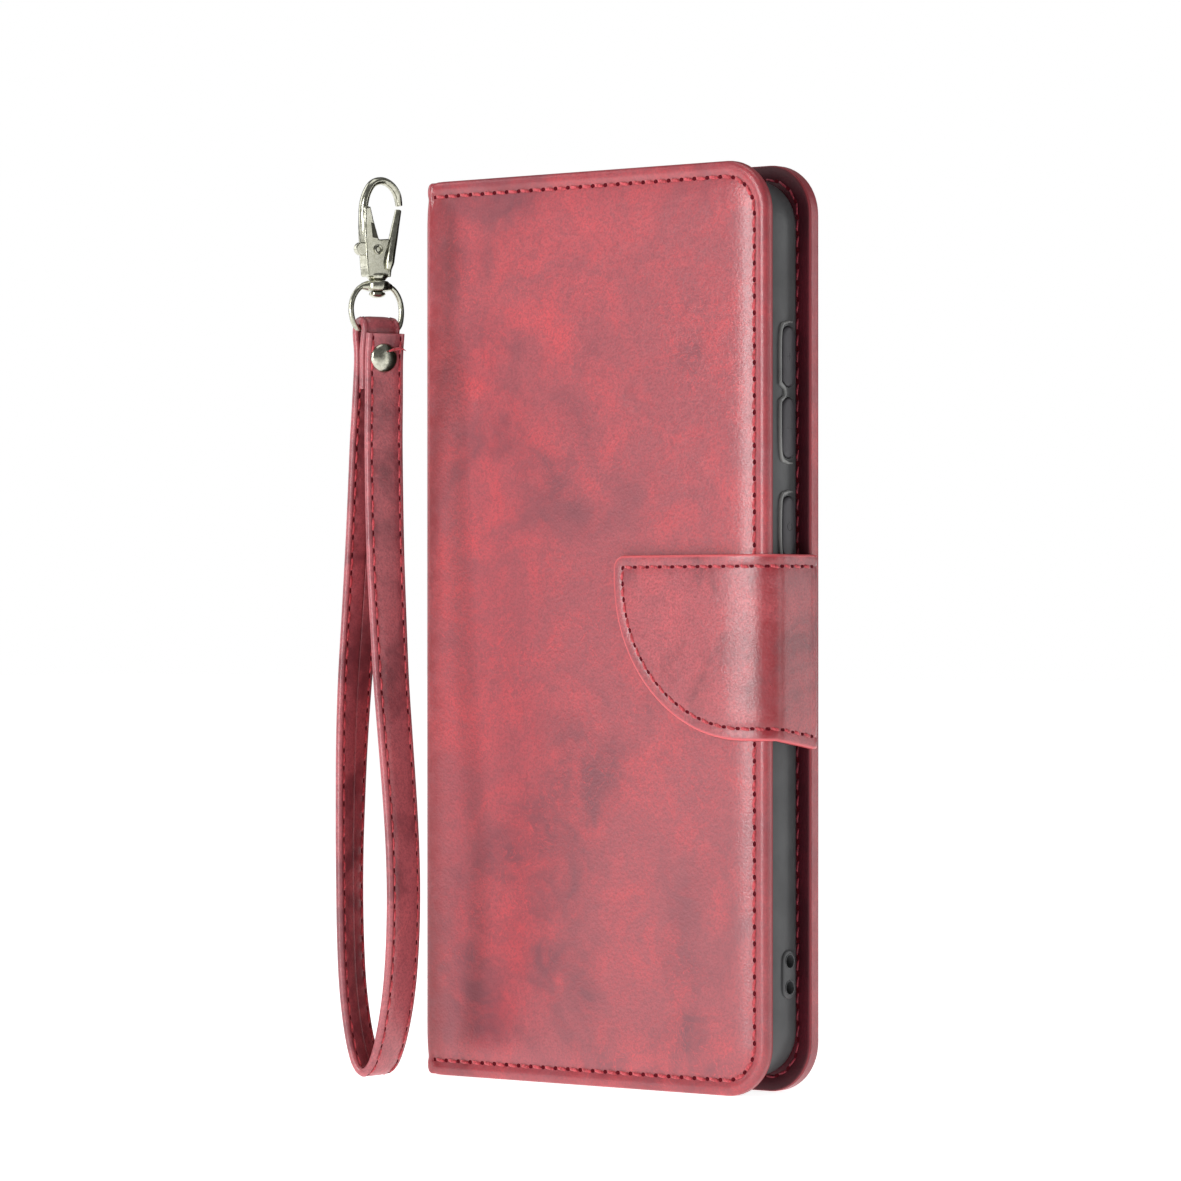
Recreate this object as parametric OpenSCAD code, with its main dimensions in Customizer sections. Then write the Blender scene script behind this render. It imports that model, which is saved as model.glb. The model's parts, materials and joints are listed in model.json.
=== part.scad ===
// Wallet case for a phone: a book-style cover with a clear-through camera window, a moulded
// rubber tray that holds the phone, a magnetic closing flap and a detachable wrist strap.
// X runs from the spine to the opening side, -Y is the front cover, +Z is up.
// The origin is at the bottom centre of the closed case, without its strap.

/* [Case] */
// Height of the covers
case_h = 170; // [160:1:176]
// Width of the covers, from the outside of the spine to the opening edge
case_w = 82; // [80:1:86]
// Thickness of the closed case, without the flap
case_t = 16.4; // [16.4:0.2:20]
// Radius of the two cover corners at the opening side
corner_r = 9.5; // [6:0.5:11]
// Radius of the two cover corners at the spine
spine_corner_r = 1.2; // [0.6:0.1:1.5]

/* [Leather and board] */
// Thickness of the outer leather
skin_t = 0.8; // [0.6:0.1:1]
// Thickness of the front cover's stiffening board
board_t = 1.2; // [1:0.1:1.4]
// Thickness of the back cover's board
back_board_t = 1.8; // [1.6:0.1:1.9]
// Thickness of the inner lining
lining_t = 0.6; // [0.4:0.1:0.8]
// Width of the sewn rim round each board
rim = 3.6; // [3:0.2:4]
// Clearance left on each side of a living fold
fold_gap = 0.3; // [0.3:0.05:0.4]

/* [Phone tray] */
// Height of the tray
tray_h = 164.4; // [158:0.2:165]
// Width of the tray
tray_w = 76; // [72:1:77]
// Thickness of the tray's side walls
wall_t = 1.2; // [1:0.1:1.4]
// Thickness of the tray's floor
floor_t = 1; // [0.8:0.1:1.2]
// Thickness of the phone that fits
phone_t = 7.4; // [7:0.1:7.6]
// Thickness of the lip over the phone's front edge
lip_t = 0.6; // [0.5:0.1:0.8]
// Reach of the lip over the phone's front edge
lip_reach = 0.8; // [0.6:0.1:1]
// Outer radius of the tray's corners
tray_r = 9; // [7:0.5:11]

/* [Buttons] */
// Length of each button
button_l = 11; // [9:0.5:12]
// Width of each button
button_w = 3.8; // [2.6:0.2:4]
// How far a button stands out of the tray's wall
button_proud = 0.5; // [0.4:0.1:0.6]
// How far a button travels when it is pressed
button_travel = 0.4; // [0.3:0.05:0.4]
// Gap all round a button
button_gap = 0.15; // [0.15:0.05:0.2]
// Height of the volume-up, volume-down and power buttons' centres
button_z = [134.5, 121.5, 103.5];

/* [Camera window] */
// Width of the window in the cover
window_w = 28; // [24:1:30]
// Height of the window in the cover
window_h = 38; // [30:1:40]
// Corner radius of the window in the cover
window_r = 6; // [4:0.5:8]

/* [Flap] */
// Thickness of the flap's outer leather
flap_skin_t = 0.9; // [0.8:0.1:1]
// Thickness of the flap's lining
flap_lining_t = 0.6; // [0.5:0.1:0.7]
// Reach of the tongue over the front cover
tongue_l = 35.8; // [32:0.2:38]
// Top edge of the flap
flap_top = 98.4; // [96:0.2:100]
// Bottom edge of the flap where it leaves the back cover
flap_bottom = 63; // [60:0.5:66]
// Clearance between the flap and the covers
flap_gap = 0.3; // [0.3:0.05:0.4]

/* [Magnets] */
// Diameter of the tongue's magnet and of the cover's keeper plate
magnet_d = 12; // [10:1:14]
// Thickness of the tongue's magnet and of the keeper plate
magnet_t = 0.6; // [0.5:0.1:0.7]

/* [Wrist strap] */
// Width of the strap
strap_w = 8; // [7:0.5:9]
// Thickness of the strap
strap_t = 1.7; // [1.4:0.1:1.8]
// Diameter of the rivet's domed cap
rivet_d = 5.6; // [5:0.2:6]
// Diameter of the ring's wire
wire_d = 1; // [0.8:0.1:1.1]
// Outer width of the ring
ring_w = 11.8; // [11:0.2:12.4]
// Thickness of the hook's plate
hook_t = 2.8; // [2.6:0.1:3]

/* [Hidden] */
$fn = 64;

leather = "#b0404c";
leather_edge = "#d8545a";
lining_red = "#6e1f2c";
board_grey = "#8a8378";
rubber_grey = "#4a4c4d";
nickel = "#c9c6ba";
magnet_grey = "#75777a";
through = 1;

// Places across the closed case
flap_t = flap_skin_t + flap_lining_t;
cover_t = skin_t + board_t + lining_t;
total_w = case_w + flap_gap + flap_t;
total_t = case_t + flap_gap + flap_t;
x_left = -total_w / 2;
x_right = x_left + case_w;
x_flap = total_w / 2;
y_flap = -total_t / 2;
y_front = y_flap + flap_t + flap_gap;
y_back = total_t / 2;
spine_t = skin_t + lining_t;
x_fold = x_left + spine_t + fold_gap;
y_front_inner = y_front + cover_t;
back_t = skin_t + back_board_t + lining_t;
y_back_inner = y_back - back_t;

// Phone tray
tray_edge = 2.6;
tray_x1 = x_right - tray_edge;
tray_x0 = tray_x1 - tray_w;
tray_z0 = (case_h - tray_h) / 2;
tray_z1 = tray_z0 + tray_h;
tray_depth = floor_t + phone_t + lip_t;
tray_y1 = y_back_inner;
tray_y0 = tray_y1 - tray_depth;
tray_x_mid = (tray_x0 + tray_x1) / 2;
port_y = tray_y1 - floor_t - phone_t / 2;
button_y = 2.9;
button_head_t = wall_t + button_proud;
window_x = tray_x1 - 16.5;
window_z = tray_z1 - 24;
window_step = 1.5;

// Lanyard holes in the tray's side wall
lanyard_r = 1.2;
lanyard_z = 21.9;
lanyard_pitch = 4.8;
lanyard_pad_w = 3.8;
lanyard_pad_l = 9;
lanyard_pad_t = 0.4;

// Ports in the tray's bottom and top walls
port_w = 12;
port_h = 5.2;
speaker_w = 9;
speaker_h = 2.4;
speaker_x = 21;
mic_r = 0.8;
mic_x = -16;

// Pockets on the inside of the front cover
pocket_t = 0.3;
pocket_edge_x = x_left + 12;
pocket_step = 9;
pocket_rim = 1.4;
card_z0 = 32;
card_z1 = 136;
pocket_r = corner_r - pocket_rim;

// Flap outline, in the plane of the front cover
tongue_fold = x_flap - flap_t - fold_gap;
tongue_tip = x_flap - tongue_l;
tongue_low_z = 64.6;
tongue_top_r = 2.4;
tongue_centre = [36, 94];
tail_l = 3;
tail_y = y_back_inner + lining_t;
root_y = tail_y + flap_skin_t;
root_bend = 2;
magnet_x = x_flap - 21;
magnet_z = 84;

// Wrist strap: its own axes have X across the strap and -Y out of its front face
strap_x = -38.7;
strap_y = -24.2;
strap_turn = 72;
hook_z = 165.2;
hook_x = 1.1;
hook_r = 4.3;
hook_wire = 1.4;
nose_z = 164.2;
pivot = [-0.6, 156];
pin_r = 0.5;
pin_play = 0.04;
slot_w = 1.6;
gate_t = 1;
gate_y = -0.75;
cheek_z0 = 152.6;
body_z0 = 151;
collar_z = 149.2;
collar_h = 1.9;
swivel_r = 0.9;
swivel_play = 0.06;
bar_z = 141;
ring_round = 3.2;
fold_r = wire_d / 2 + 0.3 + strap_t / 2;
bar_n = -0.35;

// The strap's centreline from its front end to its inner end: distance in front, height
strap_route = [
    [3.1, 140.2], [2.57, 135.6], [2.5, 128], [2.4, 120], [2.65, 109], [3.1, 98], [3.9, 86.5],
    [4.8, 75], [6.1, 64], [7.4, 53], [8.2, 44], [8.5, 35.5], [8.25, 27], [7.4, 19], [6, 12.5],
    [4.1, 7], [1.9, 3.3], [-0.8, 1.9], [-3.5, 3.3], [-5.7, 7], [-7.6, 12.5], [-9, 19],
    [-9.8, 27], [-10.1, 35.5], [-9.9, 44], [-9.3, 53], [-8.5, 64], [-7.5, 75], [-6.2, 86.5],
    [-5, 98], [-4, 109], [-3.1, 120], [-2.2, 128], [-1.5, 135.6]
];
// Height where the loop starts to turn, and how far down the turn takes
lean_z = 112;
lean_run = 80;
// Where the strap's inner end stops, between its two legs
inner_end_z = 129.8;
rivet_z = 135.6;
inner_n = 0.54;
rivet_x = -0.5;

// Outlines drawn in the plane of a cover: X across, Y up

// Sheet with one radius at its left corners and another at its right corners
module sheet(x0, x1, z0, z1, r_left, r_right) {
    translate([x0 + r_left, z0]) square([x1 - x0 - r_left - r_right, z1 - z0]);
    translate([x0, z0 + r_left]) square([r_left, z1 - z0 - 2 * r_left]);
    translate([x1 - r_right, z0 + r_right]) square([r_right, z1 - z0 - 2 * r_right]);
    for (z = [z0 + r_left, z1 - r_left]) translate([x0 + r_left, z]) circle(r_left);
    for (z = [z0 + r_right, z1 - r_right]) translate([x1 - r_right, z]) circle(r_right);
}

module cover_outline(inset = 0) {
    sheet(x_fold + inset, x_right - inset, inset, case_h - inset, spine_corner_r, corner_r - inset);
}

module camera_outline(shrink = 0) {
    w = window_w / 2 - shrink;
    h = window_h / 2 - shrink;
    r = window_r - shrink;
    sheet(window_x - w, window_x + w, window_z - h, window_z + h, r, r);
}

// Stands an outline up and gives it thickness t towards +Y, from y
module upright(y, t) {
    translate([0, y + t, 0]) rotate([90, 0, 0]) linear_extrude(t) children();
}

// Obround across X or Y in its own plane
module slot(length, width) {
    square([length - width, width], center = true);
    for (s = [-1, 1]) translate([s * (length - width) / 2, 0]) circle(width / 2);
}

// Back cover

module back_skin() {
    color(leather) difference() {
        upright(y_back_inner + lining_t, back_board_t + skin_t) cover_outline();
        upright(y_back_inner + lining_t - through, back_board_t + through) cover_outline(rim);
        upright(y_back_inner, back_t + through) camera_outline();
        translate([x_right - tail_l, tail_y, flap_bottom])
            cube([tail_l + through, flap_skin_t, flap_top - flap_bottom]);
    }
}

module back_board() {
    color(board_grey) difference() {
        upright(y_back_inner + lining_t, back_board_t) cover_outline(rim);
        upright(y_back_inner, back_t) camera_outline();
    }
}

module back_lining() {
    color(lining_red) difference() {
        upright(y_back_inner, lining_t) cover_outline();
        upright(y_back_inner - through, back_t) camera_outline();
    }
}

// The end of the flap's leather that is sewn into the edge of the back cover
module flap_tail() {
    color(leather_edge)
        translate([x_right - tail_l, tail_y, flap_bottom])
            cube([tail_l, flap_skin_t, flap_top - flap_bottom]);
}

// Phone tray and its buttons

module tray_outline(inset) {
    sheet(tray_x0 + inset, tray_x1 - inset, tray_z0 + inset, tray_z1 - inset,
        tray_r - inset, tray_r - inset);
}

// A button's outline carried through the tray's right wall
module side_slot(z, length, width, x, t) {
    translate([x, button_y, z]) rotate([0, 90, 0]) linear_extrude(t) slot(length, width);
}

// A hole through the tray's bottom wall
module bottom_slot(x, w, h) {
    translate([x, port_y, tray_z0 - through]) linear_extrude(wall_t + 2 * through) slot(w, h);
}

module phone_tray() {
    color(rubber_grey) difference() {
        union() {
            upright(tray_y0, tray_depth) tray_outline(0);
            side_slot(lanyard_z, lanyard_pad_l, lanyard_pad_w, tray_x1 - wall_t, wall_t + lanyard_pad_t);
        }
        upright(tray_y0 + lip_t, phone_t) tray_outline(wall_t);
        upright(tray_y0 - through, lip_t + 2 * through) tray_outline(wall_t + lip_reach);
        upright(tray_y1 - floor_t - through, floor_t + 2 * through) camera_outline(window_step);
        for (z = button_z)
            side_slot(z, button_l + 2 * button_gap, button_w + 2 * button_gap,
                tray_x1 - wall_t - through, wall_t + 2 * through);
        bottom_slot(tray_x_mid, port_w, port_h);
        bottom_slot(tray_x_mid + speaker_x, speaker_w, speaker_h);
        for (z = [tray_z0, tray_z1])
            translate([tray_x_mid + mic_x, port_y, z])
                cylinder(r = mic_r, h = 4 * wall_t, center = true);
        for (s = [-1, 1])
            translate([tray_x1, button_y, lanyard_z + s * lanyard_pitch / 2]) rotate([0, 90, 0])
                cylinder(r = lanyard_r, h = 4 * wall_t, center = true);
    }
}

// One button: a head that stands out of the wall, in its own slot
module tray_button(z) {
    color(rubber_grey) side_slot(z, button_l, button_w, tray_x1 - wall_t, button_head_t);
}

module volume_up_button() tray_button(button_z[0]);
module volume_down_button() tray_button(button_z[1]);
module power_button() tray_button(button_z[2]);

// Spine

module spine_sheet(x, t) {
    translate([x, y_front + fold_gap, 0]) cube([t, case_t - 2 * fold_gap, case_h]);
}

module spine_skin() color(leather) spine_sheet(x_left, skin_t);
module spine_lining() color(lining_red) spine_sheet(x_left + skin_t, lining_t);

// Front cover, with its keeper plate and pockets

module front_skin() {
    color(leather) difference() {
        upright(y_front, skin_t + board_t) cover_outline();
        upright(y_front + skin_t, board_t + through) cover_outline(rim);
    }
}

module keeper_hole(t) {
    translate([magnet_x, y_front + skin_t + t / 2, magnet_z]) rotate([90, 0, 0])
        cylinder(d = magnet_d, h = t, center = true);
}

module front_board() {
    color(board_grey) difference() {
        upright(y_front + skin_t, board_t) cover_outline(rim);
        keeper_hole(magnet_t);
    }
}

module keeper_plate() color(magnet_grey) keeper_hole(magnet_t);

module front_lining() {
    color(lining_red) upright(y_front_inner - lining_t, lining_t) cover_outline();
}

// One pocket layer, counted from the lining
module pocket_layer(n, x0, z0, z1, r) {
    color(lining_red) upright(y_front_inner + n * pocket_t, pocket_t)
        sheet(x0, x_right - pocket_rim, z0, z1, spine_corner_r, r);
}

module card_slot(n) {
    pocket_layer(n, pocket_edge_x + n * pocket_step, card_z0, card_z1, spine_corner_r);
}

module cash_pocket() {
    pocket_layer(0, pocket_edge_x, pocket_rim, case_h - pocket_rim, pocket_r);
}

module card_slot_rear() card_slot(1);
module card_slot_middle() card_slot(2);
module card_slot_front() card_slot(3);

// Flap: a strip over the opening side and a half-round tongue over the front cover

// A strip of the flap's side, between the root and the fold. Its lower edge slopes.
module side_strip(x, t) {
    y0 = y_flap + fold_gap;
    y1 = root_y - root_bend;
    translate([x, 0, 0]) rotate([90, 0, 90]) linear_extrude(t)
        polygon([[y0, tongue_low_z], [y1, flap_bottom], [y1, flap_top], [y0, flap_top]]);
}

module flap_side_skin() color(leather) side_strip(x_flap - flap_skin_t, flap_skin_t);
module flap_side_lining() color(lining_red) side_strip(x_flap - flap_t, flap_lining_t);

// The tongue's lower left edge, a quarter of an ellipse
function tongue_curve(steps = 24) = [
    for (i = [0:steps]) let (a = 90 * i / steps)
        [tongue_centre[0] - (tongue_centre[0] - tongue_tip) * sin(a),
            tongue_centre[1] - (tongue_centre[1] - tongue_low_z) * cos(a)]
];

module tongue_outline() {
    difference() {
        polygon(concat(
            [[tongue_fold, flap_top], [tongue_fold, tongue_low_z]],
            tongue_curve(),
            [[tongue_tip, flap_top]]
        ));
        translate([tongue_tip, flap_top - tongue_top_r]) difference() {
            translate([-through, 0]) square([tongue_top_r + through, tongue_top_r + through]);
            translate([tongue_top_r, 0]) circle(tongue_top_r);
        }
    }
}

module magnet_disc(y) {
    translate([magnet_x, y, magnet_z]) rotate([90, 0, 0])
        cylinder(d = magnet_d, h = magnet_t, center = true);
}

magnet_y = y_flap + flap_skin_t - magnet_t / 2;

module tongue_skin() {
    color(leather) difference() {
        upright(y_flap, flap_skin_t) tongue_outline();
        magnet_disc(magnet_y);
    }
}

module tongue_lining() {
    color(lining_red) upright(y_flap + flap_skin_t, flap_lining_t) tongue_outline();
}

module tongue_magnet() color(magnet_grey) magnet_disc(magnet_y);

// Wrist strap, from the hook down

module strap_place() {
    translate([strap_x, strap_y, 0]) rotate([0, 0, strap_turn]) children();
}

// Plate of thickness t standing across the strap, centred on y
module hook_plate(t, y = 0) {
    translate([0, y + t / 2, 0]) rotate([90, 0, 0]) linear_extrude(t) children();
}

// Round pin along the strap's Y axis
module cross_pin(x, z, r, length, y = 0) {
    translate([x, y, z]) rotate([90, 0, 0]) cylinder(r = r, h = length, center = true);
}

// The hook: a half-round top, a long arm on the left and a short nose on the right
module hook_outline() {
    difference() {
        translate([hook_x, hook_z]) circle(hook_r);
        translate([hook_x, hook_z]) circle(hook_r - hook_wire);
        translate([hook_x - 2 * hook_r, hook_z - 2 * hook_r]) square([4 * hook_r, 2 * hook_r]);
    }
    translate([hook_x + hook_r - hook_wire, nose_z]) square([hook_wire, hook_z - nose_z]);
    polygon([
        [hook_x - hook_r, hook_z], [hook_x - hook_r + hook_wire, hook_z], [-1.2, 158.6],
        [1.6, 157.2], [3.4, 153.4], [2.4, body_z0], [-2, body_z0], [-2.9, 153.4]
    ]);
}

module hook_body() {
    color(nickel) strap_place() difference() {
        union() {
            hook_plate(hook_t) hook_outline();
            translate([0, 0, collar_z + collar_h / 2 + swivel_play])
                cylinder(r = 1.5, h = body_z0 - collar_z - collar_h / 2);
        }
        translate([-2 * hook_r, -slot_w / 2, cheek_z0]) cube([4 * hook_r, slot_w, 5.8]);
        cross_pin(pivot[0], pivot[1], pin_r, 2 * hook_t);
        cylinder(r = swivel_r, h = body_z0);
    }
}

// Post that hangs the ring's collar under the hook, headed inside the ring
module swivel_rivet() {
    head_z = collar_z - collar_h / 2 - swivel_play;
    color(nickel) strap_place() {
        translate([0, 0, head_z]) cylinder(r = swivel_r, h = body_z0 - head_z);
        translate([0, 0, head_z - 1]) cylinder(r1 = 1.1, r2 = 1.7, h = 1);
    }
}

module gate_pin() color(nickel) strap_place() cross_pin(pivot[0], pivot[1], pin_r, hook_t + 0.4);

module gate_spring() {
    color(nickel) strap_place() difference() {
        cross_pin(pivot[0], pivot[1], 1, 0.4, 0.52);
        cross_pin(pivot[0], pivot[1], 0.7, 1, 0.52);
    }
}

module hook_gate() {
    color(nickel) strap_place() difference() {
        hook_plate(gate_t, gate_y + gate_t / 2) {
            translate(pivot) circle(1.3);
            polygon([
                [-4.7, 156.7], [-4.7, 155.3], [-0.7, 154.75], [2.5, 154.2], [3.6, 155.6],
                [5, 163.2], [3.9, 163.5], [1.9, 156.5], [-0.6, 157.25]
            ]);
        }
        cross_pin(pivot[0], pivot[1], pin_r + pin_play, 2 * hook_t);
    }
}

// Straight piece of the ring's wire between two points of its plane
module wire_run(a, b) {
    d = b - a;
    translate([a[0], -bar_n, a[1]]) rotate([0, atan2(d[0], d[1]), 0])
        cylinder(d = wire_d, h = norm(d), $fn = 32);
}

// Quarter of the ring's bend, from angle a0, about a centre in its plane
module wire_bend(centre, r, a0, sweep) {
    translate([centre[0], -bar_n, centre[1]]) rotate([90, 0, 0]) rotate([0, 0, a0])
        rotate_extrude(angle = sweep) translate([r, 0]) circle(d = wire_d, $fn = 32);
}

module d_ring() {
    half = ring_w / 2 - wire_d / 2;
    low_r = 1.2;
    high_r = 4.6;
    top_z = collar_z;
    color(nickel) strap_place() difference() {
        union() {
            wire_run([-half + low_r, bar_z], [half - low_r, bar_z]);
            for (s = [-1, 1]) wire_run([s * half, bar_z + low_r], [s * half, top_z - high_r]);
            wire_bend([half - low_r, bar_z + low_r], low_r, -90, 90);
            wire_bend([-half + low_r, bar_z + low_r], low_r, 180, 90);
            wire_bend([half - high_r, top_z - high_r], high_r, 0, 90);
            wire_bend([-half + high_r, top_z - high_r], high_r, 90, 90);
            translate([0, 0, collar_z - collar_h / 2]) cylinder(r = 2.3, h = collar_h);
        }
        translate([0, 0, collar_z - collar_h]) cylinder(r = swivel_r + swivel_play, h = 2 * collar_h);
    }
}

// The strap's band: the hand-placed route, the turn over the ring's bar, and the inner end
band = concat(
    strap_route,
    [[bar_n - fold_r, bar_z - 1.2]],
    [for (a = [180:-22.5:0]) [bar_n + fold_r * cos(a), bar_z + fold_r * sin(a)]],
    [[bar_n + fold_r - 0.35, bar_z - 1.6], [inner_n, bar_z - 4], [inner_n, rivet_z], [inner_n, inner_end_z]]
);

// Direction of the band at point i, as the mean of its two neighbours
function way(i) = let (a = band[max(i - 1, 0)], b = band[min(i + 1, len(band) - 1)])
    (b - a) / norm(b - a);

// Eight corners of the band's cross-section at point i
// The loop turns and narrows as it hangs: how much of the turn is reached at height z
function lean(z) = let (s = min(1, max(0, (lean_z - z) / lean_run))) s * s * (3 - 2 * s);
function ring_at(i) = let (
        p = band[i], d = way(i), side = [-d[1], d[0]],
        w = strap_w / 2, t = strap_t / 2, c = 0.3,
        s = lean(p[1]), a = s * (20 - 0.75 * p[0]), m = p[0] * (1 - s * (0.27 - 0.013 * p[0]))
    )
    [for (q = [[w, t - c], [w - c, t], [c - w, t], [-w, t - c], [-w, c - t], [c - w, -t],
            [w - c, -t], [w, c - t]])
        let (x = q[0], n = m + side[0] * q[1])
        [x * cos(a) + n * sin(a), x * sin(a) - n * cos(a), p[1] + side[1] * q[1]]];

module wrist_strap() {
    n = len(band);
    points = [for (i = [0:n - 1]) each ring_at(i)];
    sides = [for (i = [0:n - 2], k = [0:7])
        [i * 8 + k, i * 8 + (k + 1) % 8, (i + 1) * 8 + (k + 1) % 8, (i + 1) * 8 + k]];
    ends = [[for (k = [7:-1:0]) k], [for (k = [0:7]) (n - 1) * 8 + k]];
    color(leather) strap_place() polyhedron(points, concat(sides, ends));
}

// Domed cap on the strap's front face
module rivet_cap() {
    face = -(strap_route[1][0] + strap_t / 2);
    color(nickel) strap_place() translate([rivet_x, face, rivet_z]) rotate([90, 0, 0]) {
        cylinder(d = rivet_d, h = 0.4);
        translate([0, 0, 0.4]) cylinder(d1 = rivet_d, d2 = rivet_d - 2.6, h = 0.9);
    }
}

// Tube and rear flange that clench the strap's three layers
module rivet_post() {
    front = -(strap_route[1][0] + strap_t / 2);
    rear = -(strap_route[len(strap_route) - 1][0] - strap_t / 2);
    color(nickel) strap_place() {
        cross_pin(rivet_x, rivet_z, 1.1, rear - front, (rear + front) / 2);
        cross_pin(rivet_x, rivet_z, rivet_d / 2 - 0.4, 0.5, rear + 0.25);
    }
}

back_skin();
back_board();
back_lining();
phone_tray();
flap_tail();
volume_up_button();
volume_down_button();
power_button();
spine_skin();
spine_lining();
front_skin();
front_board();
front_lining();
keeper_plate();
cash_pocket();
card_slot_rear();
card_slot_middle();
card_slot_front();
flap_side_skin();
flap_side_lining();
tongue_skin();
tongue_lining();
tongue_magnet();
hook_body();
swivel_rivet();
gate_pin();
gate_spring();
hook_gate();
d_ring();
wrist_strap();
rivet_cap();
rivet_post();
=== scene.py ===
# Red leather wallet case for a phone, closed, with its wrist strap hanging beside it.
# Sizes are in millimetres, and make_piece turns them into the frame's metres.

import json
import math

import bmesh
import bpy
import numpy as np
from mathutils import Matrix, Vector, geometry

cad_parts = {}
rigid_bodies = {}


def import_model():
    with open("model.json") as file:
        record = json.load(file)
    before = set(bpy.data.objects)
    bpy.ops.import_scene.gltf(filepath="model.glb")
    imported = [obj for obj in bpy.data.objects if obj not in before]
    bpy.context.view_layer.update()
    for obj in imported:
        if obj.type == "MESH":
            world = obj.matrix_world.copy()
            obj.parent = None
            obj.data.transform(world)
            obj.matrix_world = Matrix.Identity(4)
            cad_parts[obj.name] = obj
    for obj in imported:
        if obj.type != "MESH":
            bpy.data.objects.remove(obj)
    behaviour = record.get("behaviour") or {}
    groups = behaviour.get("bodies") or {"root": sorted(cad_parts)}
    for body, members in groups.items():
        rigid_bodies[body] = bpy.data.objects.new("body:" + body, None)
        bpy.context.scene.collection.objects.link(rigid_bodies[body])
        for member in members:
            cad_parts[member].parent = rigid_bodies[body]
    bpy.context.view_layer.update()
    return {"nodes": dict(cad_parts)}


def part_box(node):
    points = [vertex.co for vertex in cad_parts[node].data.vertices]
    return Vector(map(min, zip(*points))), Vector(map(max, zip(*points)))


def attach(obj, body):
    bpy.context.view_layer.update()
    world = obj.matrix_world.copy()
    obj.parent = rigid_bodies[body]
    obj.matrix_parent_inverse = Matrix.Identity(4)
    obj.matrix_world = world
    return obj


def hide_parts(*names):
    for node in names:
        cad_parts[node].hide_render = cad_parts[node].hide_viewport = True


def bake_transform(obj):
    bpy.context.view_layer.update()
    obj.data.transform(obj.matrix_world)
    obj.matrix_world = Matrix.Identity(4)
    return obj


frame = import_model()
MM = 0.001


# Camera: level with the middle of the case, in front of it and round to the opening side.
eye_turn = math.radians(39.164)
eye_distance = 952.92
eye_height = 85
aim_aside = -5.211
aim_height = 92.017

eye = Vector((eye_distance * math.sin(eye_turn), -eye_distance * math.cos(eye_turn), eye_height))
aim = Vector((aim_aside * math.cos(eye_turn), aim_aside * math.sin(eye_turn), aim_height))
camera = bpy.data.objects.new("camera", bpy.data.cameras.new("camera"))
camera.data.lens = 155.74
camera.data.sensor_width = 36
camera.location = eye * MM
camera.rotation_euler = (aim - eye).to_track_quat("-Z", "Y").to_euler()
bpy.context.scene.collection.objects.link(camera)
bpy.context.scene.camera = camera


# Wrist strap: one band of the case's leather, folded edges to middle so that its inner face has a
# butt seam, sewn along both edges, looped, turned over the ring's bar and riveted to itself.
def ends(node):
    """Lowest and highest corner of a part of the frame, in millimetres."""
    low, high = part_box(node)
    return np.array(low) / MM, np.array(high) / MM


def rgb(r, g, b):
    """A colour as a camera would record it, turned into light values for the shader."""
    return tuple(
        c / 12.92 if c <= 0.04045 else ((c + 0.055) / 1.055) ** 2.4
        for c in (r / 255, g / 255, b / 255)
    ) + (1,)


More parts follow.
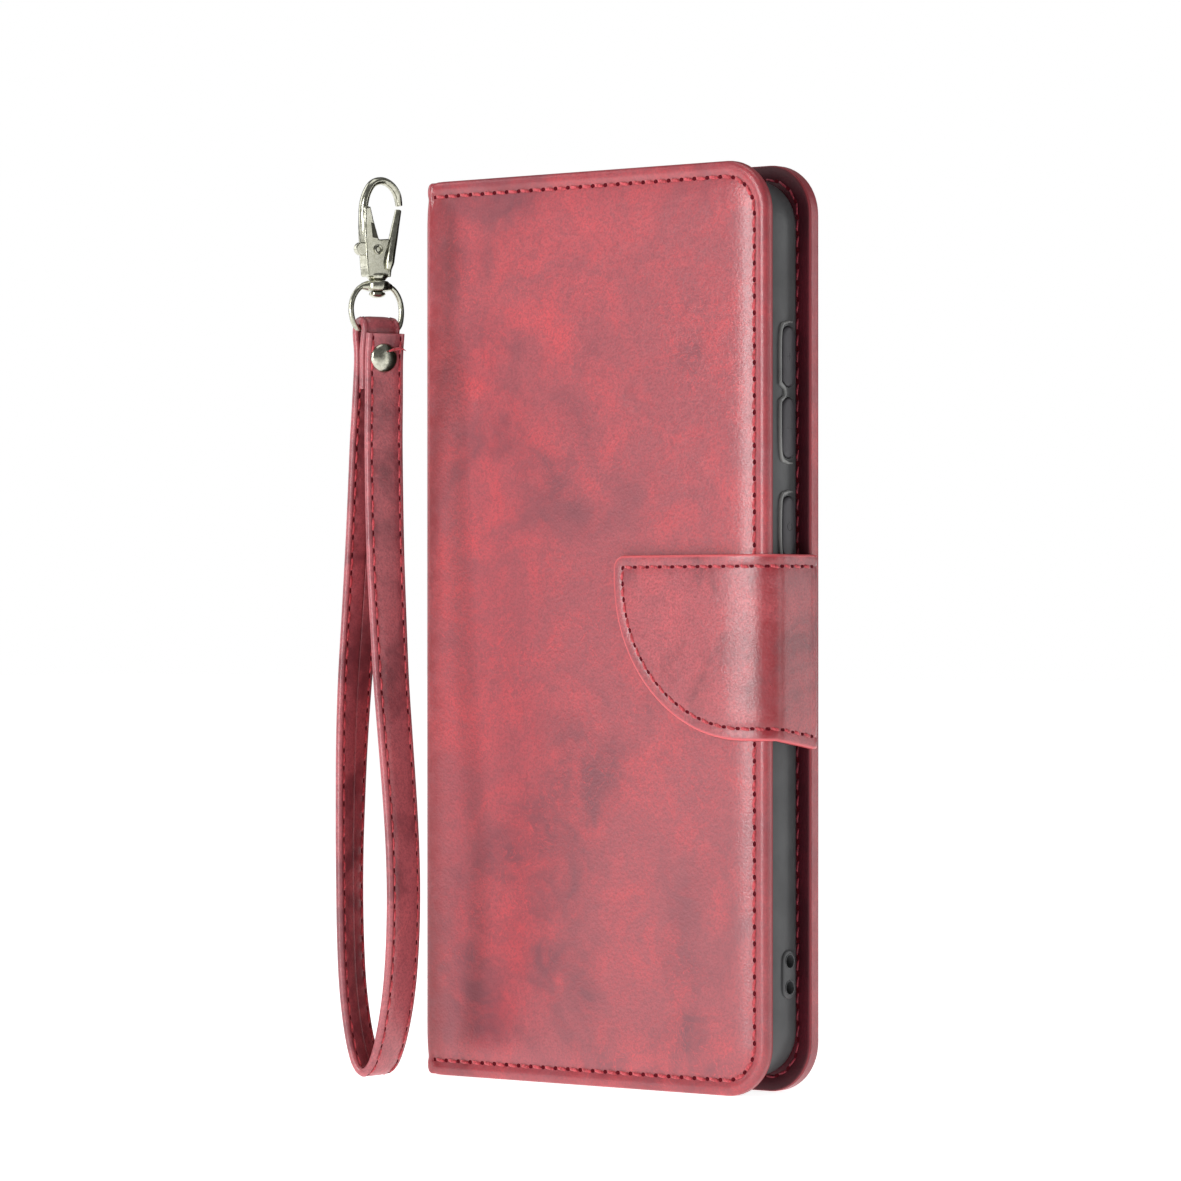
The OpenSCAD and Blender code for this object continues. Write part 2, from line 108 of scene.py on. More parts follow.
class Finish:
    """A material with its Principled shader, and short ways to add nodes to it."""

    def __init__(self, name, **fixed):
        self.material = bpy.data.materials.new(name)
        self.material.use_nodes = True
        self.nodes = self.material.node_tree.nodes
        self.links = self.material.node_tree.links
        self.shader = self.nodes["Principled BSDF"]
        for socket, value in fixed.items():
            self.shader.inputs[socket.replace("_", " ")].default_value = value
        self.laid = self.nodes.new("ShaderNodeAttribute")
        self.laid.attribute_name = "laid"

    def link(self, source, target):
        if isinstance(source, (int, float, tuple)):
            target.default_value = source
        else:
            self.links.new(source, target)

    def noise(self, scale, detail=3.0, roughness=0.55, distortion=0.0, stretch=(1, 1, 1)):
        """Noise fixed to the piece as it was cut, in features per metre."""
        place = self.nodes.new("ShaderNodeMapping")
        place.inputs["Scale"].default_value = stretch
        self.links.new(self.laid.outputs["Vector"], place.inputs["Vector"])
        node = self.nodes.new("ShaderNodeTexNoise")
        node.inputs["Scale"].default_value = scale
        node.inputs["Detail"].default_value = detail
        node.inputs["Roughness"].default_value = roughness
        node.inputs["Distortion"].default_value = distortion
        self.links.new(place.outputs["Vector"], node.inputs["Vector"])
        return node.outputs["Fac"]

    def pores(self, scale):
        """Distance to the nearest pore of a pebbled grain."""
        node = self.nodes.new("ShaderNodeTexVoronoi")
        node.inputs["Scale"].default_value = scale
        self.links.new(self.laid.outputs["Vector"], node.inputs["Vector"])
        return node.outputs["Distance"]

    def ramp(self, value, *stops):
        """Colours or grey levels laid out along a value."""
        node = self.nodes.new("ShaderNodeValToRGB")
        self.links.new(value, node.inputs["Fac"])
        while len(node.color_ramp.elements) < len(stops):
            node.color_ramp.elements.new(0.5)
        for element, (at, colour) in zip(node.color_ramp.elements, stops):
            element.position = at
            element.color = colour if isinstance(colour, tuple) else (colour, colour, colour, 1)
        return node.outputs["Color"]

    def math(self, operation, a, b=0.0):
        node = self.nodes.new("ShaderNodeMath")
        node.operation = operation
        self.link(a, node.inputs[0])
        self.link(b, node.inputs[1])
        return node.outputs[0]

    def mix(self, amount, a, b, mode="MIX"):
        node = self.nodes.new("ShaderNodeMix")
        node.data_type = "RGBA"
        node.blend_type = mode
        self.link(amount, node.inputs["Factor"])
        self.link(a, node.inputs[6])
        self.link(b, node.inputs[7])
        return node.outputs[2]

    def colour(self, source):
        self.link(source, self.shader.inputs["Base Color"])

    def rough(self, value, smooth, coarse):
        node = self.nodes.new("ShaderNodeMapRange")
        self.links.new(value, node.inputs["Value"])
        node.inputs["To Min"].default_value = smooth
        node.inputs["To Max"].default_value = coarse
        self.links.new(node.outputs["Result"], self.shader.inputs["Roughness"])

    def bump(self, height, depth, strength=1.0):
        """Relief of that depth in millimetres, added over any relief already there."""
        node = self.nodes.new("ShaderNodeBump")
        node.inputs["Strength"].default_value = strength
        node.inputs["Distance"].default_value = depth * MM
        self.links.new(height, node.inputs["Height"])
        before = self.shader.inputs["Normal"]
        if before.is_linked:
            self.links.new(before.links[0].from_socket, node.inputs["Normal"])
        self.links.new(node.outputs["Normal"], before)


def leather_finish(name, dark, plain, bright, mottle=30, smooth=0.24, coarse=0.38, gloss=0.8):
    """Pull-up leather: cloudy colour, fine dark pores, pale veins, a painted cut edge and painted shade at
    folds and rims.
    """
    f = Finish(name, Specular_IOR_Level=gloss)
    clouds = f.noise(mottle, detail=5, roughness=0.62, distortion=0.6)
    base = f.ramp(clouds, (0.38, dark), (0.51, plain), (0.59, plain), (0.7, bright))
    patches = f.noise(mottle * 4, detail=5, roughness=0.62, distortion=0.8)
    base = f.mix(f.ramp(patches, (0.44, 0.0), (0.66, 0.5)), base, bright)
    veins = f.noise(mottle * 9, detail=3, roughness=0.6, distortion=1.8)
    line = f.math("ABSOLUTE", f.math("SUBTRACT", veins, 0.5))
    line = f.ramp(line, (0.0, 1.0), (0.024, 0.0))
    where = f.ramp(f.noise(mottle * 1.7, detail=2), (0.46, 0.0), (0.62, 0.6))
    base = f.mix(f.math("MULTIPLY", line, where), base, bright)
    speckle = f.ramp(f.noise(2100, detail=2, roughness=0.7), (0.36, 0.55), (0.56, 0.0))
    base = f.mix(speckle, base, dark)
    # Painted shade: a deeper, darker red where the point attribute below is high, at the hide's folds and
    # round its rims, where the surface turns away from the light. On the cover it also stands for the
    # colour of stretched hide.
    pulled_and_shaded = f.nodes.new("ShaderNodeAttribute")
    pulled_and_shaded.attribute_name = "pulled_and_shaded"
    uneven = f.ramp(f.noise(260, detail=4, roughness=0.65), (0.3, 0.15), (0.65, 1.0))
    base = f.mix(f.math("MULTIPLY", pulled_and_shaded.outputs["Fac"], uneven), base, rgb(148, 32, 42))
    painted = f.nodes.new("ShaderNodeAttribute")
    painted.attribute_name = "painted"
    base = f.mix(painted.outputs["Fac"], base, rgb(222, 92, 98))
    f.colour(base)
    f.rough(f.noise(700, detail=4), smooth, coarse)
    f.bump(f.noise(90, detail=3), 0.12, 0.5)
    f.bump(line, 0.02, 0.3)
    f.bump(f.pores(1900), 0.035, 0.6)
    f.bump(f.noise(1500, detail=4, roughness=0.65), 0.05, 0.7)
    return f.material


strap_leather = leather_finish(
    "strap leather", rgb(128, 60, 68), rgb(180, 90, 97), rgb(200, 98, 104), mottle=60
)


def thread_finish():
    """Twisted polyester sewing thread, lighter than the leather."""
    f = Finish("red thread", Roughness=0.55, Sheen_Weight=0.3)
    twist = f.noise(2600, detail=1, stretch=(1, 1, 0.6))
    f.colour(f.ramp(twist, (0.35, rgb(156, 36, 46)), (0.62, rgb(208, 70, 80))))
    f.bump(twist, 0.06)
    return f.material


thread = thread_finish()


def hole_shade_finish():
    """Painted shade in the mouth of a stitch hole: a dark disc on the surface, with the leather's raw
    fibres in it.
    """
    f = Finish("painted needle hole shade", Roughness=0.9, Specular_IOR_Level=0.1)
    fibres = f.noise(3000, detail=2)
    f.colour(f.ramp(fibres, (0.3, rgb(66, 10, 20)), (0.7, rgb(104, 20, 32))))
    f.bump(fibres, 0.05)
    return f.material


needle_hole_shade = hole_shade_finish()


def make_piece(name, points, faces, finish, painted=None, pulled_and_shaded=None, crease=48):
    """An object from points in millimetres, smooth but for edges sharper than crease degrees."""
    mesh = bpy.data.meshes.new(name)
    mesh.from_pydata([tuple(float(c) * MM for c in p) for p in points], [], faces)
    for label, amount in (("painted", painted), ("pulled_and_shaded", pulled_and_shaded)):
        if amount is not None:
            values = np.asarray(amount, np.float32)
            mesh.attributes.new(label, "FLOAT", "POINT").data.foreach_set("value", values)
    shape = bmesh.new()
    shape.from_mesh(mesh)
    bmesh.ops.recalc_face_normals(shape, faces=shape.faces)
    finish_mesh(shape, mesh, crease)
    piece = bpy.data.objects.new(name, mesh)
    bpy.context.scene.collection.objects.link(piece)
    mesh.materials.append(finish)
    return piece


def finish_mesh(shape, mesh, crease):
    """Write a bmesh to a mesh with its creases, and note where each point was laid."""
    for face in shape.faces:
        face.smooth = True
    for edge in shape.edges:
        edge.smooth = not edge.is_manifold or edge.calc_face_angle(0) < math.radians(crease)
    shape.to_mesh(mesh)
    shape.free()
    laid = mesh.attributes.get("laid") or mesh.attributes.new("laid", "FLOAT_VECTOR", "POINT")
    places = np.array([v.co for v in mesh.vertices], np.float32)
    laid.data.foreach_set("vector", places.ravel())


def smooth_line(points, step, closed=False):
    """A smooth curve through given points, with places about step apart on it."""
    p = np.array(points, float)
    p = np.vstack([p[-1], p, p[0], p[1]]) if closed else np.vstack([2 * p[0] - p[1], p, 2 * p[-1] - p[-2]])
    line = []
    for a, b, c, d in zip(p, p[1:], p[2:], p[3:]):
        count = max(2, round(np.linalg.norm(c - b) / step))
        for t in np.arange(count) / count:
            line.append(
                0.5 * (2 * b + (c - a) * t + (2 * a - 5 * b + 4 * c - d) * t**2
                       + (3 * b - a - 3 * c + d) * t**3)
            )
    if not closed:
        line.append(p[-2])
    return np.array(line)


def skin_rings(rings, closed=False, capped=True):
    """Faces that join rings of equal size in turn, with a cap on each open end."""
    n, m = len(rings), len(rings[0])
    points = np.vstack(rings)
    faces = [
        (i * m + k, i * m + (k + 1) % m, (i + 1) % n * m + (k + 1) % m, (i + 1) % n * m + k)
        for i in range(n if closed else n - 1)
        for k in range(m)
    ]
    if capped and not closed:
        faces += [tuple(range(m))[::-1], tuple(range((n - 1) * m, n * m))]
    return points, faces


def way_lengths(line):
    return np.concatenate([[0], np.cumsum(np.linalg.norm(np.diff(line, axis=0), axis=1))])


def sew(name, line, outward, pitch=3.0, stitch=2.3, thick=0.36, slant=0.14, colour=None, wide=0.4):
    """Stitches of thread along a line on a surface, and dark discs of painted shade at the stitch holes
    between them.
    """
    at = way_lengths(line)
    crown, dive = 0.16, 0.34
    hole_long, hole_rise, hole_deep = 0.5, 0.05, 0.25

    def place(s):
        p = np.array([np.interp(s, at, line[:, k]) for k in range(3)])
        q = np.array([np.interp(s + 0.05, at, line[:, k]) for k in range(3)])
        r = np.array([np.interp(s - 0.05, at, line[:, k]) for k in range(3)])
        up = np.array([np.interp(s, at, outward[:, k]) for k in range(3)])
        ahead = (q - r) / np.linalg.norm(q - r)
        up /= np.linalg.norm(up)
        return p, up, np.cross(ahead, up), ahead

    thread_points, thread_faces, hole_shade_points, hole_shade_faces = [], [], [], []
    count = int(at[-1] / pitch)
    for i in range(count):
        middle = (i + 0.5) * at[-1] / count
        rings = []
        for t in (-1, -0.94, -0.7, -0.25, 0.25, 0.7, 0.94, 1):
            p, up, side, ahead = place(middle + t * stitch / 2)
            r = thick * max(0.12, math.sqrt(1 - 0.98 * t**4))
            p = p + up * (crown - dive * t**4) + side * (slant * t * stitch / 2)
            rings.append([
                p + up * r * 0.8 * math.sin(a) + side * r * math.cos(a)
                for a in np.arange(7) * math.tau / 7
            ])
        points, faces = skin_rings(rings)
        thread_faces += [tuple(k + len(thread_points) for k in f) for f in faces]
        thread_points += list(points)
    # Each stitch hole is a dark disc lying on the surface: painted shade where the hole would be in shadow.
    for i in range(count + 1):
        p, up, side, ahead = place(min(max(i * at[-1] / count, 0.05), at[-1] - 0.05))
        ring = [
            p + up * hole_rise + ahead * hole_long * math.cos(a) + side * wide * math.sin(a)
            for a in np.arange(8) * math.tau / 8
        ]
        k = len(hole_shade_points)
        hole_shade_points += ring + [p + up * (hole_rise + 0.02), p - up * hole_deep]
        hole_shade_faces += [(k + j, k + (j + 1) % 8, k + 8) for j in range(8)]
        hole_shade_faces += [(k + (j + 1) % 8, k + j, k + 9) for j in range(8)]
    return (
        make_piece(name + "_thread", thread_points, thread_faces, colour or thread),
        make_piece(name + "_hole_shades", hole_shade_points, hole_shade_faces, needle_hole_shade),
    )


strap_turn = math.radians(72)
strap_place = np.array([-38.7, -24.2])
strap_thick = 1.7
bar_height = 141
bar_front = -0.35
fold_radius = 1.65
inner_front = 0.54
inner_end = 129.8
rivet_height = 135.6
rivet_aside = -0.5

# The band's middle line, from its front end round the loop: distance in front, height
strap_route = [
    (3.1, 140.2), (2.57, 135.6), (2.5, 128), (2.4, 120), (2.65, 109), (3.1, 98), (3.9, 86.5),
    (4.8, 75), (6.1, 64), (7.4, 53), (8.2, 44), (8.5, 35.5), (8.25, 27), (7.4, 19), (6, 12.5),
    (4.1, 7), (1.9, 3.3), (-0.8, 1.9), (-3.5, 3.3), (-5.7, 7), (-7.6, 12.5), (-9, 19),
    (-9.8, 27), (-10.1, 35.5), (-9.9, 44), (-9.3, 53), (-8.5, 64), (-7.5, 75), (-6.2, 86.5),
    (-5, 98), (-4, 109), (-3.1, 120), (-2.2, 128), (-1.5, 135.6),
]
over_bar = [(bar_front - fold_radius, bar_height - 1.2)] + [
    (bar_front + fold_radius * math.cos(a), bar_height + fold_radius * math.sin(a))
    for a in np.radians([180, 135, 90, 45, 0])
]
inner_layer = [
    (bar_front + fold_radius - 0.35, bar_height - 1.6), (inner_front, bar_height - 4),
    (inner_front, rivet_height), (inner_front, inner_end),
]


def on_strap(across, front, height):
    """A place in the strap's own axes, which stand turned beside the case."""
    c, s = math.cos(strap_turn), math.sin(strap_turn)
    return np.array([
        strap_place[0] + across * c + front * s, strap_place[1] + across * s - front * c, height,
    ])


band = smooth_line(strap_route + over_bar + inner_layer, 1.0)
band_ahead = np.gradient(band, axis=0)
band_ahead /= np.linalg.norm(band_ahead, axis=1)[:, None]

# Half of the band's section, from the middle of the outer face to the rounded edge, and back
# along the inner face to the butt seam
groove = 2.95
band_half = [
    (0, 0.85), (1.4, 0.85), (groove - 0.55, 0.8), (groove - 0.22, 0.7), (groove, 0.64),
    (groove + 0.22, 0.7), (3.4, 0.78), (3.72, 0.66), (3.93, 0.36), (4, 0),
    (3.93, -0.36), (3.72, -0.66), (3.4, -0.78), (groove + 0.22, -0.7), (groove, -0.64),
    (groove - 0.22, -0.7), (groove - 0.55, -0.8), (0.7, -0.85), (0.2, -0.82), (0, -0.45),
]
band_section = band_half + [(-x, t) for x, t in band_half[-2:0:-1]]


# The loop twists as it goes down: by middle_turn degrees at its bottom, less for what stands
# further in front, while its two legs draw together
twist_top, twist_run = 112, 80
middle_turn, turn_per_front = 20, 0.75
gather, gather_per_front = 0.27, 0.013


def on_band(i, across, out):
    """A place on the band beside its middle line: across its width and out from its middle."""
    d, (n, z) = band_ahead[i], band[i]
    lean = min(1, max(0, (twist_top - z) / twist_run))
    lean *= lean * (3 - 2 * lean)
    turn = math.radians(lean * (middle_turn - turn_per_front * n))
    front = n * (1 - lean * (gather - gather_per_front * n)) - d[1] * out
    return on_strap(
        across * math.cos(turn) + front * math.sin(turn),
        front * math.cos(turn) - across * math.sin(turn), z + d[0] * out,
    )


strap = make_piece(
    "strap_band",
    *skin_rings([[on_band(i, x, t) for x, t in band_section] for i in range(len(band))]),
    strap_leather,
)
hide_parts("wrist_strap")
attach(strap, "strap")
for face_name, out in (("outer", 1), ("inner", -1)):
    for edge_name, across in (("left", -groove), ("right", groove)):
        span = range(1, len(band) - 16) if out > 0 else range(10, len(band) - 30)
        line = np.array([on_band(i, across, 0.66 * out) for i in span])
        outward = np.array([on_band(i, across, 1.66 * out) for i in span]) - line
        name = f"strap_{face_name}_{edge_name}"
        for piece in sew(name, line, outward, 3.3, 2.6, 0.24, 0.05, wide=0.2):
            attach(piece, "strap")


# Rivet through the strap's three layers: a domed cap in front, clenched on a tube behind.
def nickel_finish():
    """Nickel plate on a zinc casting: satin, with fine wear and faint waves."""
    f = Finish("nickel plate", Metallic=1.0)
    wear = f.noise(900, detail=5, roughness=0.7)
    f.colour(f.ramp(wear, (0.35, rgb(158, 157, 140)), (0.65, rgb(200, 199, 184))))
    f.rough(wear, 0.14, 0.28)
    f.bump(f.noise(500, detail=2), 0.03, 0.4)
    return f.material


nickel = nickel_finish()


def turned(profile, centre, axis, sides=40):
    """Points and faces of a shape turned on a lathe: radius and height along its axis."""
    axis = np.array(axis, float) / np.linalg.norm(axis)
    first = np.cross(axis, (0.3, 0.2, 0.9))
    first /= np.linalg.norm(first)
    second = np.cross(axis, first)
    rings = [
        [
            np.array(centre) + axis * h + max(r, 0.001) * (first * math.cos(a) + second * math.sin(a))
            for a in np.arange(sides) * math.tau / sides
        ]
        for r, h in profile
    ]
    return skin_rings(rings)


def join(*shapes):
    """Several sets of points and faces as one."""
    points, faces = [], []
    for some_points, some_faces in shapes:
        faces += [tuple(k + len(points) for k in f) for f in some_faces]
        points += [np.array(p) for p in some_points]
    return points, faces


strap_forward = on_strap(0, 1, 0) - on_strap(0, 0, 0)
UP = np.array([0, 0, 1.0])
cap_front = strap_route[1][0] + strap_thick / 2
cap = make_piece(
    "strap_rivet_cap",
    *turned(
        [(0, 1.0), (0.9, 0.97), (1.7, 0.88), (2.15, 0.74), (2.5, 0.5), (2.72, 0.22), (2.8, 0.02),
         (2.72, -0.1), (2.4, -0.12), (0, -0.12)],
        on_strap(rivet_aside, cap_front, rivet_height), strap_forward,
    ),
    nickel,
)
tube_back = strap_route[-1][0] - strap_thick / 2
post = make_piece(
    "strap_rivet_post",
    *turned(
        [(0, -0.28), (0.7, -0.3), (1.1, -0.42), (1.7, -0.5), (2.15, -0.42), (2.4, -0.2),
         (2.35, 0.02), (1.15, 0.04), (1.1, 5.6), (0, 5.6)],
        on_strap(rivet_aside, tube_back, rivet_height), strap_forward,
    ),
    nickel,
)
for piece, node in ((cap, "rivet_cap"), (post, "rivet_post")):
    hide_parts(node)
    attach(piece, "strap")


def tube(line, radius, sides=10, closed=False, flat=1.0, across=None):
    """Points and faces of a round or flattened rod along a line; radius may vary along it."""
    line = np.array(line, float)
    radii = np.broadcast_to(np.asarray(radius, float), (len(line),))
    if closed:
        ahead = np.roll(line, -1, 0) - np.roll(line, 1, 0)
    else:
        ahead = np.gradient(line, axis=0)
    ahead /= np.linalg.norm(ahead, axis=1)[:, None]
    rings = []
    for p, d, r in zip(line, ahead, radii):
        side = np.cross(d, across if across is not None else (0.2, 0.1, 1.0))
        side /= np.linalg.norm(side)
        up = np.cross(side, d)
        rings.append([
            p + r * (side * math.cos(a) + up * flat * math.sin(a))
            for a in np.arange(sides) * math.tau / sides
        ])
    return skin_rings(rings, closed)


thread_end = smooth_line(
    [
        on_strap(x, cap_front + n, rivet_height + z)
        for x, n, z in [
            (-0.1, 1.32, 1.2), (1.0, 1.3, 1.55), (2.2, 0.9, 1.75), (3.2, 0.55, 1.7), (4.1, 0.35, 1.35),
        ]
    ],
    0.15,
)
loose_thread = make_piece(
    "strap_loose_thread",
    *tube(thread_end, 0.12 + 0.16 * np.sin(np.linspace(0.3, 3.0, len(thread_end)) ** 1.2)),
    thread,
)
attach(loose_thread, "strap")


# Ring: one wire eye whose straight bar carries the strap's fold, cast on to a collar that turns
# on the swivel post below the hook.
ring_wire = 0.52
collar_height = 149.2
ring_line = smooth_line(
    [
        on_strap(x, bar_front, z)
        for x, z in [
            (-3.6, 141.05), (0, 140.95), (3.6, 141.0), (4.9, 141.7), (5.4, 143.4), (5.4, 145.4),
            (4.85, 147.2), (3.7, 148.7), (2.2, 149.35), (0, 149.45), (-2.2, 149.35), (-3.7, 148.7),
            (-4.85, 147.2), (-5.4, 145.4), (-5.3, 143.6), (-4.75, 142.0),
        ]
    ],
    0.35,
    closed=True,
)
collar = turned(
    [(0.97, 0.85), (1.3, 0.98), (1.95, 0.93), (2.24, 0.68), (2.32, 0.3), (2.32, -0.3), (2.24, -0.68),
     (1.95, -0.93), (1.3, -0.98), (0.97, -0.85), (0.97, 0)],
    on_strap(0, 0, collar_height), UP,
)
collar = (collar[0], collar[1][:-2])
collar_ends = len(collar[0]) - 40
collar[1].extend((collar_ends + k, collar_ends + (k + 1) % 40, (k + 1) % 40, k) for k in range(40))
ears = [
    tube(
        smooth_line([
            on_strap(s * 1.9, -0.15, collar_height), on_strap(s * 3.1, bar_front, collar_height - 0.1),
        ], 0.2),
        np.linspace(1.0, 0.62, 7)[:7], 14,
    )
    for s in (-1, 1)
]
eye = tube(ring_line, ring_wire, 12, closed=True, across=strap_forward)
ring = make_piece("strap_ring", *join(eye, collar, *ears), nickel)
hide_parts("d_ring")
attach(ring, "ring")


# Snap hook: a cast body with a half-round eye, a short nose and two cheeks. Its gate turns on a
# hollow pin between the cheeks, with a thumb tab at the left and a coil spring round the pin.
def cast(name, shapes, finish, grain=0.13):
    """Overlapping solids fused into one smooth casting."""
    rough = make_piece(name + "_pattern", *join(*shapes), finish)
    remesh = rough.modifiers.new("fuse", "REMESH")
    remesh.mode = "VOXEL"
    remesh.voxel_size = grain * MM
    soften = rough.modifiers.new("soften", "SMOOTH")
    soften.iterations = 3
    fused = bpy.data.meshes.new_from_object(rough.evaluated_get(bpy.context.evaluated_depsgraph_get()))
    bpy.data.objects.remove(rough)
    points = [np.array(v.co) / MM for v in fused.vertices]
    faces = [tuple(p.vertices) for p in fused.polygons]
    return make_piece(name, points, faces, finish, crease=180)


def plate(outline, front, back):
    """A flat plate in the strap's plane, from an outline across and up."""
    rings = [[on_strap(x, n, z) for x, z in outline] for n in (back, front)]
    return skin_rings(rings)


arm_line = smooth_line(
    [(-2.3, 156), (-2.6, 158), (-2.95, 160.5), (-3.05, 162.5), (-2.9, 164.6), (-2.2, 166.8),
     (-0.9, 168.5), (1.1, 169.0), (3.0, 168.2), (4.3, 166.5), (4.75, 164.4)],
    0.4,
)
arm_width = np.interp(
    np.linspace(0, 1, len(arm_line)), (0, 0.25, 0.55, 0.9, 1), (1.0, 0.85, 0.78, 0.72, 0.62)
)
hook_arm = tube([on_strap(x, 0, z) for x, z in arm_line], arm_width, 14, flat=1.3, across=strap_forward)
cheek = [
    (-3.0, 154), (-2.75, 151.2), (2.0, 151.2), (1.9, 153.3), (2.0, 158.1), (-0.4, 157.9),
    (-1.6, 161.6), (-2.2, 164.0), (-3.3, 163.8), (-3.4, 160),
]
hook_foot = [(0, 150.2), (1.5, 150.25), (1.9, 150.7), (2.0, 151.2), (0, 151.4)]
hook_shapes = [
    hook_arm,
    plate(cheek, 1.4, 0.8),
    plate(cheek, -0.8, -1.4),
    plate([(-2.6, 150.9), (2.2, 150.9), (2.4, 152.3), (-2.9, 152.3)], 1.4, -1.4),
    plate([(-3.0, 152.5), (-2.1, 152.5), (-2.4, 159.6), (-3.4, 159.6)], 1.2, -1.2),
    turned(hook_foot, on_strap(0, 0, 0), UP),
]
hook = cast("hook_casting", hook_shapes, nickel)
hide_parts("hook_body")
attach(hook, "hook")

pivot = (-0.6, 156)
gate_front = 0.75
gate_bar = smooth_line(
    [
        on_strap(x, gate_front + n, z)
        for x, n, z in [(1.5, 0.8, 152.2), (1.95, 0.8, 155), (2.95, 0.4, 159), (4.25, -0.2, 163.6)]
    ],
    0.4,
)
gate_widths = np.interp(np.linspace(0, 1, len(gate_bar)), (0, 0.12, 0.5, 1), (0.6, 0.95, 0.85, 0.6))
tab = [(-4.0 + 1.25 * math.cos(a), 156 + 1.25 * math.sin(a)) for a in np.radians(np.arange(90, 271, 15))]
gate_shapes = [
    tube(gate_bar, gate_widths, 14, flat=1.1, across=strap_forward),
    plate(tab + [(-0.7, 154.75), (3.1, 154.2), (3.3, 156.4), (-0.6, 157.25)], 1.25, 0.2),
]
gate = cast("hook_gate_casting", gate_shapes, nickel)
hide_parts("hook_gate")
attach(gate, "gate")

pin = make_piece(
    "hook_pin",
    *turned(
        [(0.3, -1.3), (0.45, -1.62), (0.75, -1.66), (0.85, -1.45), (0.48, -1.38), (0.48, 1.38),
         (0.9, 1.42), (0.95, 1.6), (0.75, 1.74), (0.5, 1.66), (0.36, 1.3), (0.3, 1.0)],
        on_strap(pivot[0], 0, pivot[1]), strap_forward,
    ),
    nickel,
)
coil = [
    on_strap(pivot[0] + 0.85 * math.cos(a), -0.72 + 0.4 * a / 18, pivot[1] + 0.85 * math.sin(a))
    for a in np.arange(0, 18, 0.3)
]
blade = plate([(-1.75, 158.2), (-0.7, 158.1), (-1.55, 160.9), (-2.1, 161.0)], 1.5, 0.9)


def blackened_finish():
    """Blackened spring steel."""
    f = Finish("blackened spring steel", Metallic=0.7)
    wear = f.noise(1400, detail=3)
    f.colour(f.ramp(wear, (0.35, rgb(62, 62, 54)), (0.65, rgb(96, 95, 84))))
    f.rough(wear, 0.35, 0.5)
    return f.material


coil_wire = tube(coil, 0.11, 8, across=strap_forward)
spring = make_piece("hook_spring", *join(coil_wire, blade), blackened_finish())
swivel = make_piece(
    "hook_swivel_post",
    *turned(
        [(0, 146.95), (0.6, 147.0), (1.2, 147.2), (1.55, 147.55), (1.5, 147.95), (1.1, 148.15),
         (0.9, 148.3), (0.9, 150.9), (0, 150.9)],
        on_strap(0, 0, 0), UP,
    ),
    nickel,
)
for piece, node in ((pin, "gate_pin"), (spring, "gate_spring"), (swivel, "swivel_rivet")):
    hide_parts(node)
    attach(piece, "hook")

strap_path = [tuple(on_band(i, 0, 0) * MM) for i in (*range(0, len(band) - 3, 4), len(band) - 1)]


# Leather cover: one hide wrapped round both boards and the spine. It is cut here at the middle
# of the spine into two halves.
def bends(start, heading, runs, inside):
    """A way seen from above, as straight and curved runs of (length, turn in degrees)."""
    at, x, y, turn = [0.0], [start[0]], [start[1]], [math.radians(heading)]
    for length, degrees in runs:
        steps = max(1, math.ceil(abs(degrees) / 6))
        for k in range(steps):
            half = math.radians(degrees) / steps / 2
            piece = length / steps
            chord = piece * (math.sin(half) / half if half else 1)
            turn_mid = turn[-1] + half
            x.append(x[-1] + chord * math.cos(turn_mid))
            y.append(y[-1] + chord * math.sin(turn_mid))
            turn.append(turn[-1] + 2 * half)
            at.append(at[-1] + piece)
    return tuple(map(np.array, (at, x, y, turn))) + (inside,)


def lay_on(way, u, z, depth):
    """World places of points at distance u along a way, at height z, at a depth inside it."""
    at, x, y, turn, inside = way
    heading = np.interp(u, at, turn) + inside * math.pi / 2
    return np.column_stack([
        np.interp(u, at, x) + depth * np.cos(heading),
        np.interp(u, at, y) + depth * np.sin(heading),
        z,
    ])


def inset(outline, free, depth):
    """An outline moved inward along its free edges. Edges at a joint stay where they are."""
    p = np.array(outline)
    d = np.roll(p, -1, 0) - p
    normal = np.column_stack([-d[:, 1], d[:, 0]]) / np.linalg.norm(d, axis=1)[:, None]
    off = depth * np.array(free, float)
    n0, o0 = np.roll(normal, 1, 0), np.roll(off, 1)
    cross = n0[:, 0] * normal[:, 1] - n0[:, 1] * normal[:, 0]
    flat = abs(cross) < 1e-3
    cross = np.where(flat, 1, cross)
    move = np.column_stack([
        (o0 * normal[:, 1] - off * n0[:, 1]) / cross, (off * n0[:, 0] - o0 * normal[:, 0]) / cross,
    ])
    return np.where(flat[:, None], p + normal * off[:, None], p + move)


def edge_distance(points, outline, free):
    """Distance from points to the free edges of an outline."""
    best = np.full(len(points), 1e9)
    a = np.array(outline)
    b = np.roll(a, -1, 0)
    for p, q, used in zip(a, b, free):
        if used:
            t = np.clip(((points - p) @ (q - p)) / ((q - p) @ (q - p)), 0, 1)
            best = np.minimum(best, np.linalg.norm(points - p - t[:, None] * (q - p), axis=1))
    return best


def inside_outline(points, outline):
    a = np.array(outline)
    b = np.roll(a, -1, 0)
    hit = np.zeros(len(points), bool)
    for p, q in zip(a, b):
        if p[1] != q[1]:
            crosses = (p[1] > points[:, 1]) != (q[1] > points[:, 1])
            hit ^= crosses & (points[:, 0] < p[0] + (points[:, 1] - p[1]) * (q[0] - p[0]) / (q[1] - p[1]))
    return hit


def split_at(outline, free, columns):
    """The outline with a point wherever a column of the sheet's grid crosses it."""
    points, used = [], []
    for p, q, f in zip(outline, outline[1:] + outline[:1], free):
        between = [u for u in columns if min(p[0], q[0]) + 0.05 < u < max(p[0], q[0]) - 0.05]
        points.append(tuple(p))
        for u in sorted(between, reverse=bool(q[0] < p[0])):
            points.append((u, p[1] + (q[1] - p[1]) * (u - p[0]) / (q[0] - p[0])))
        used += [f] * (1 + len(between))
    return points, used


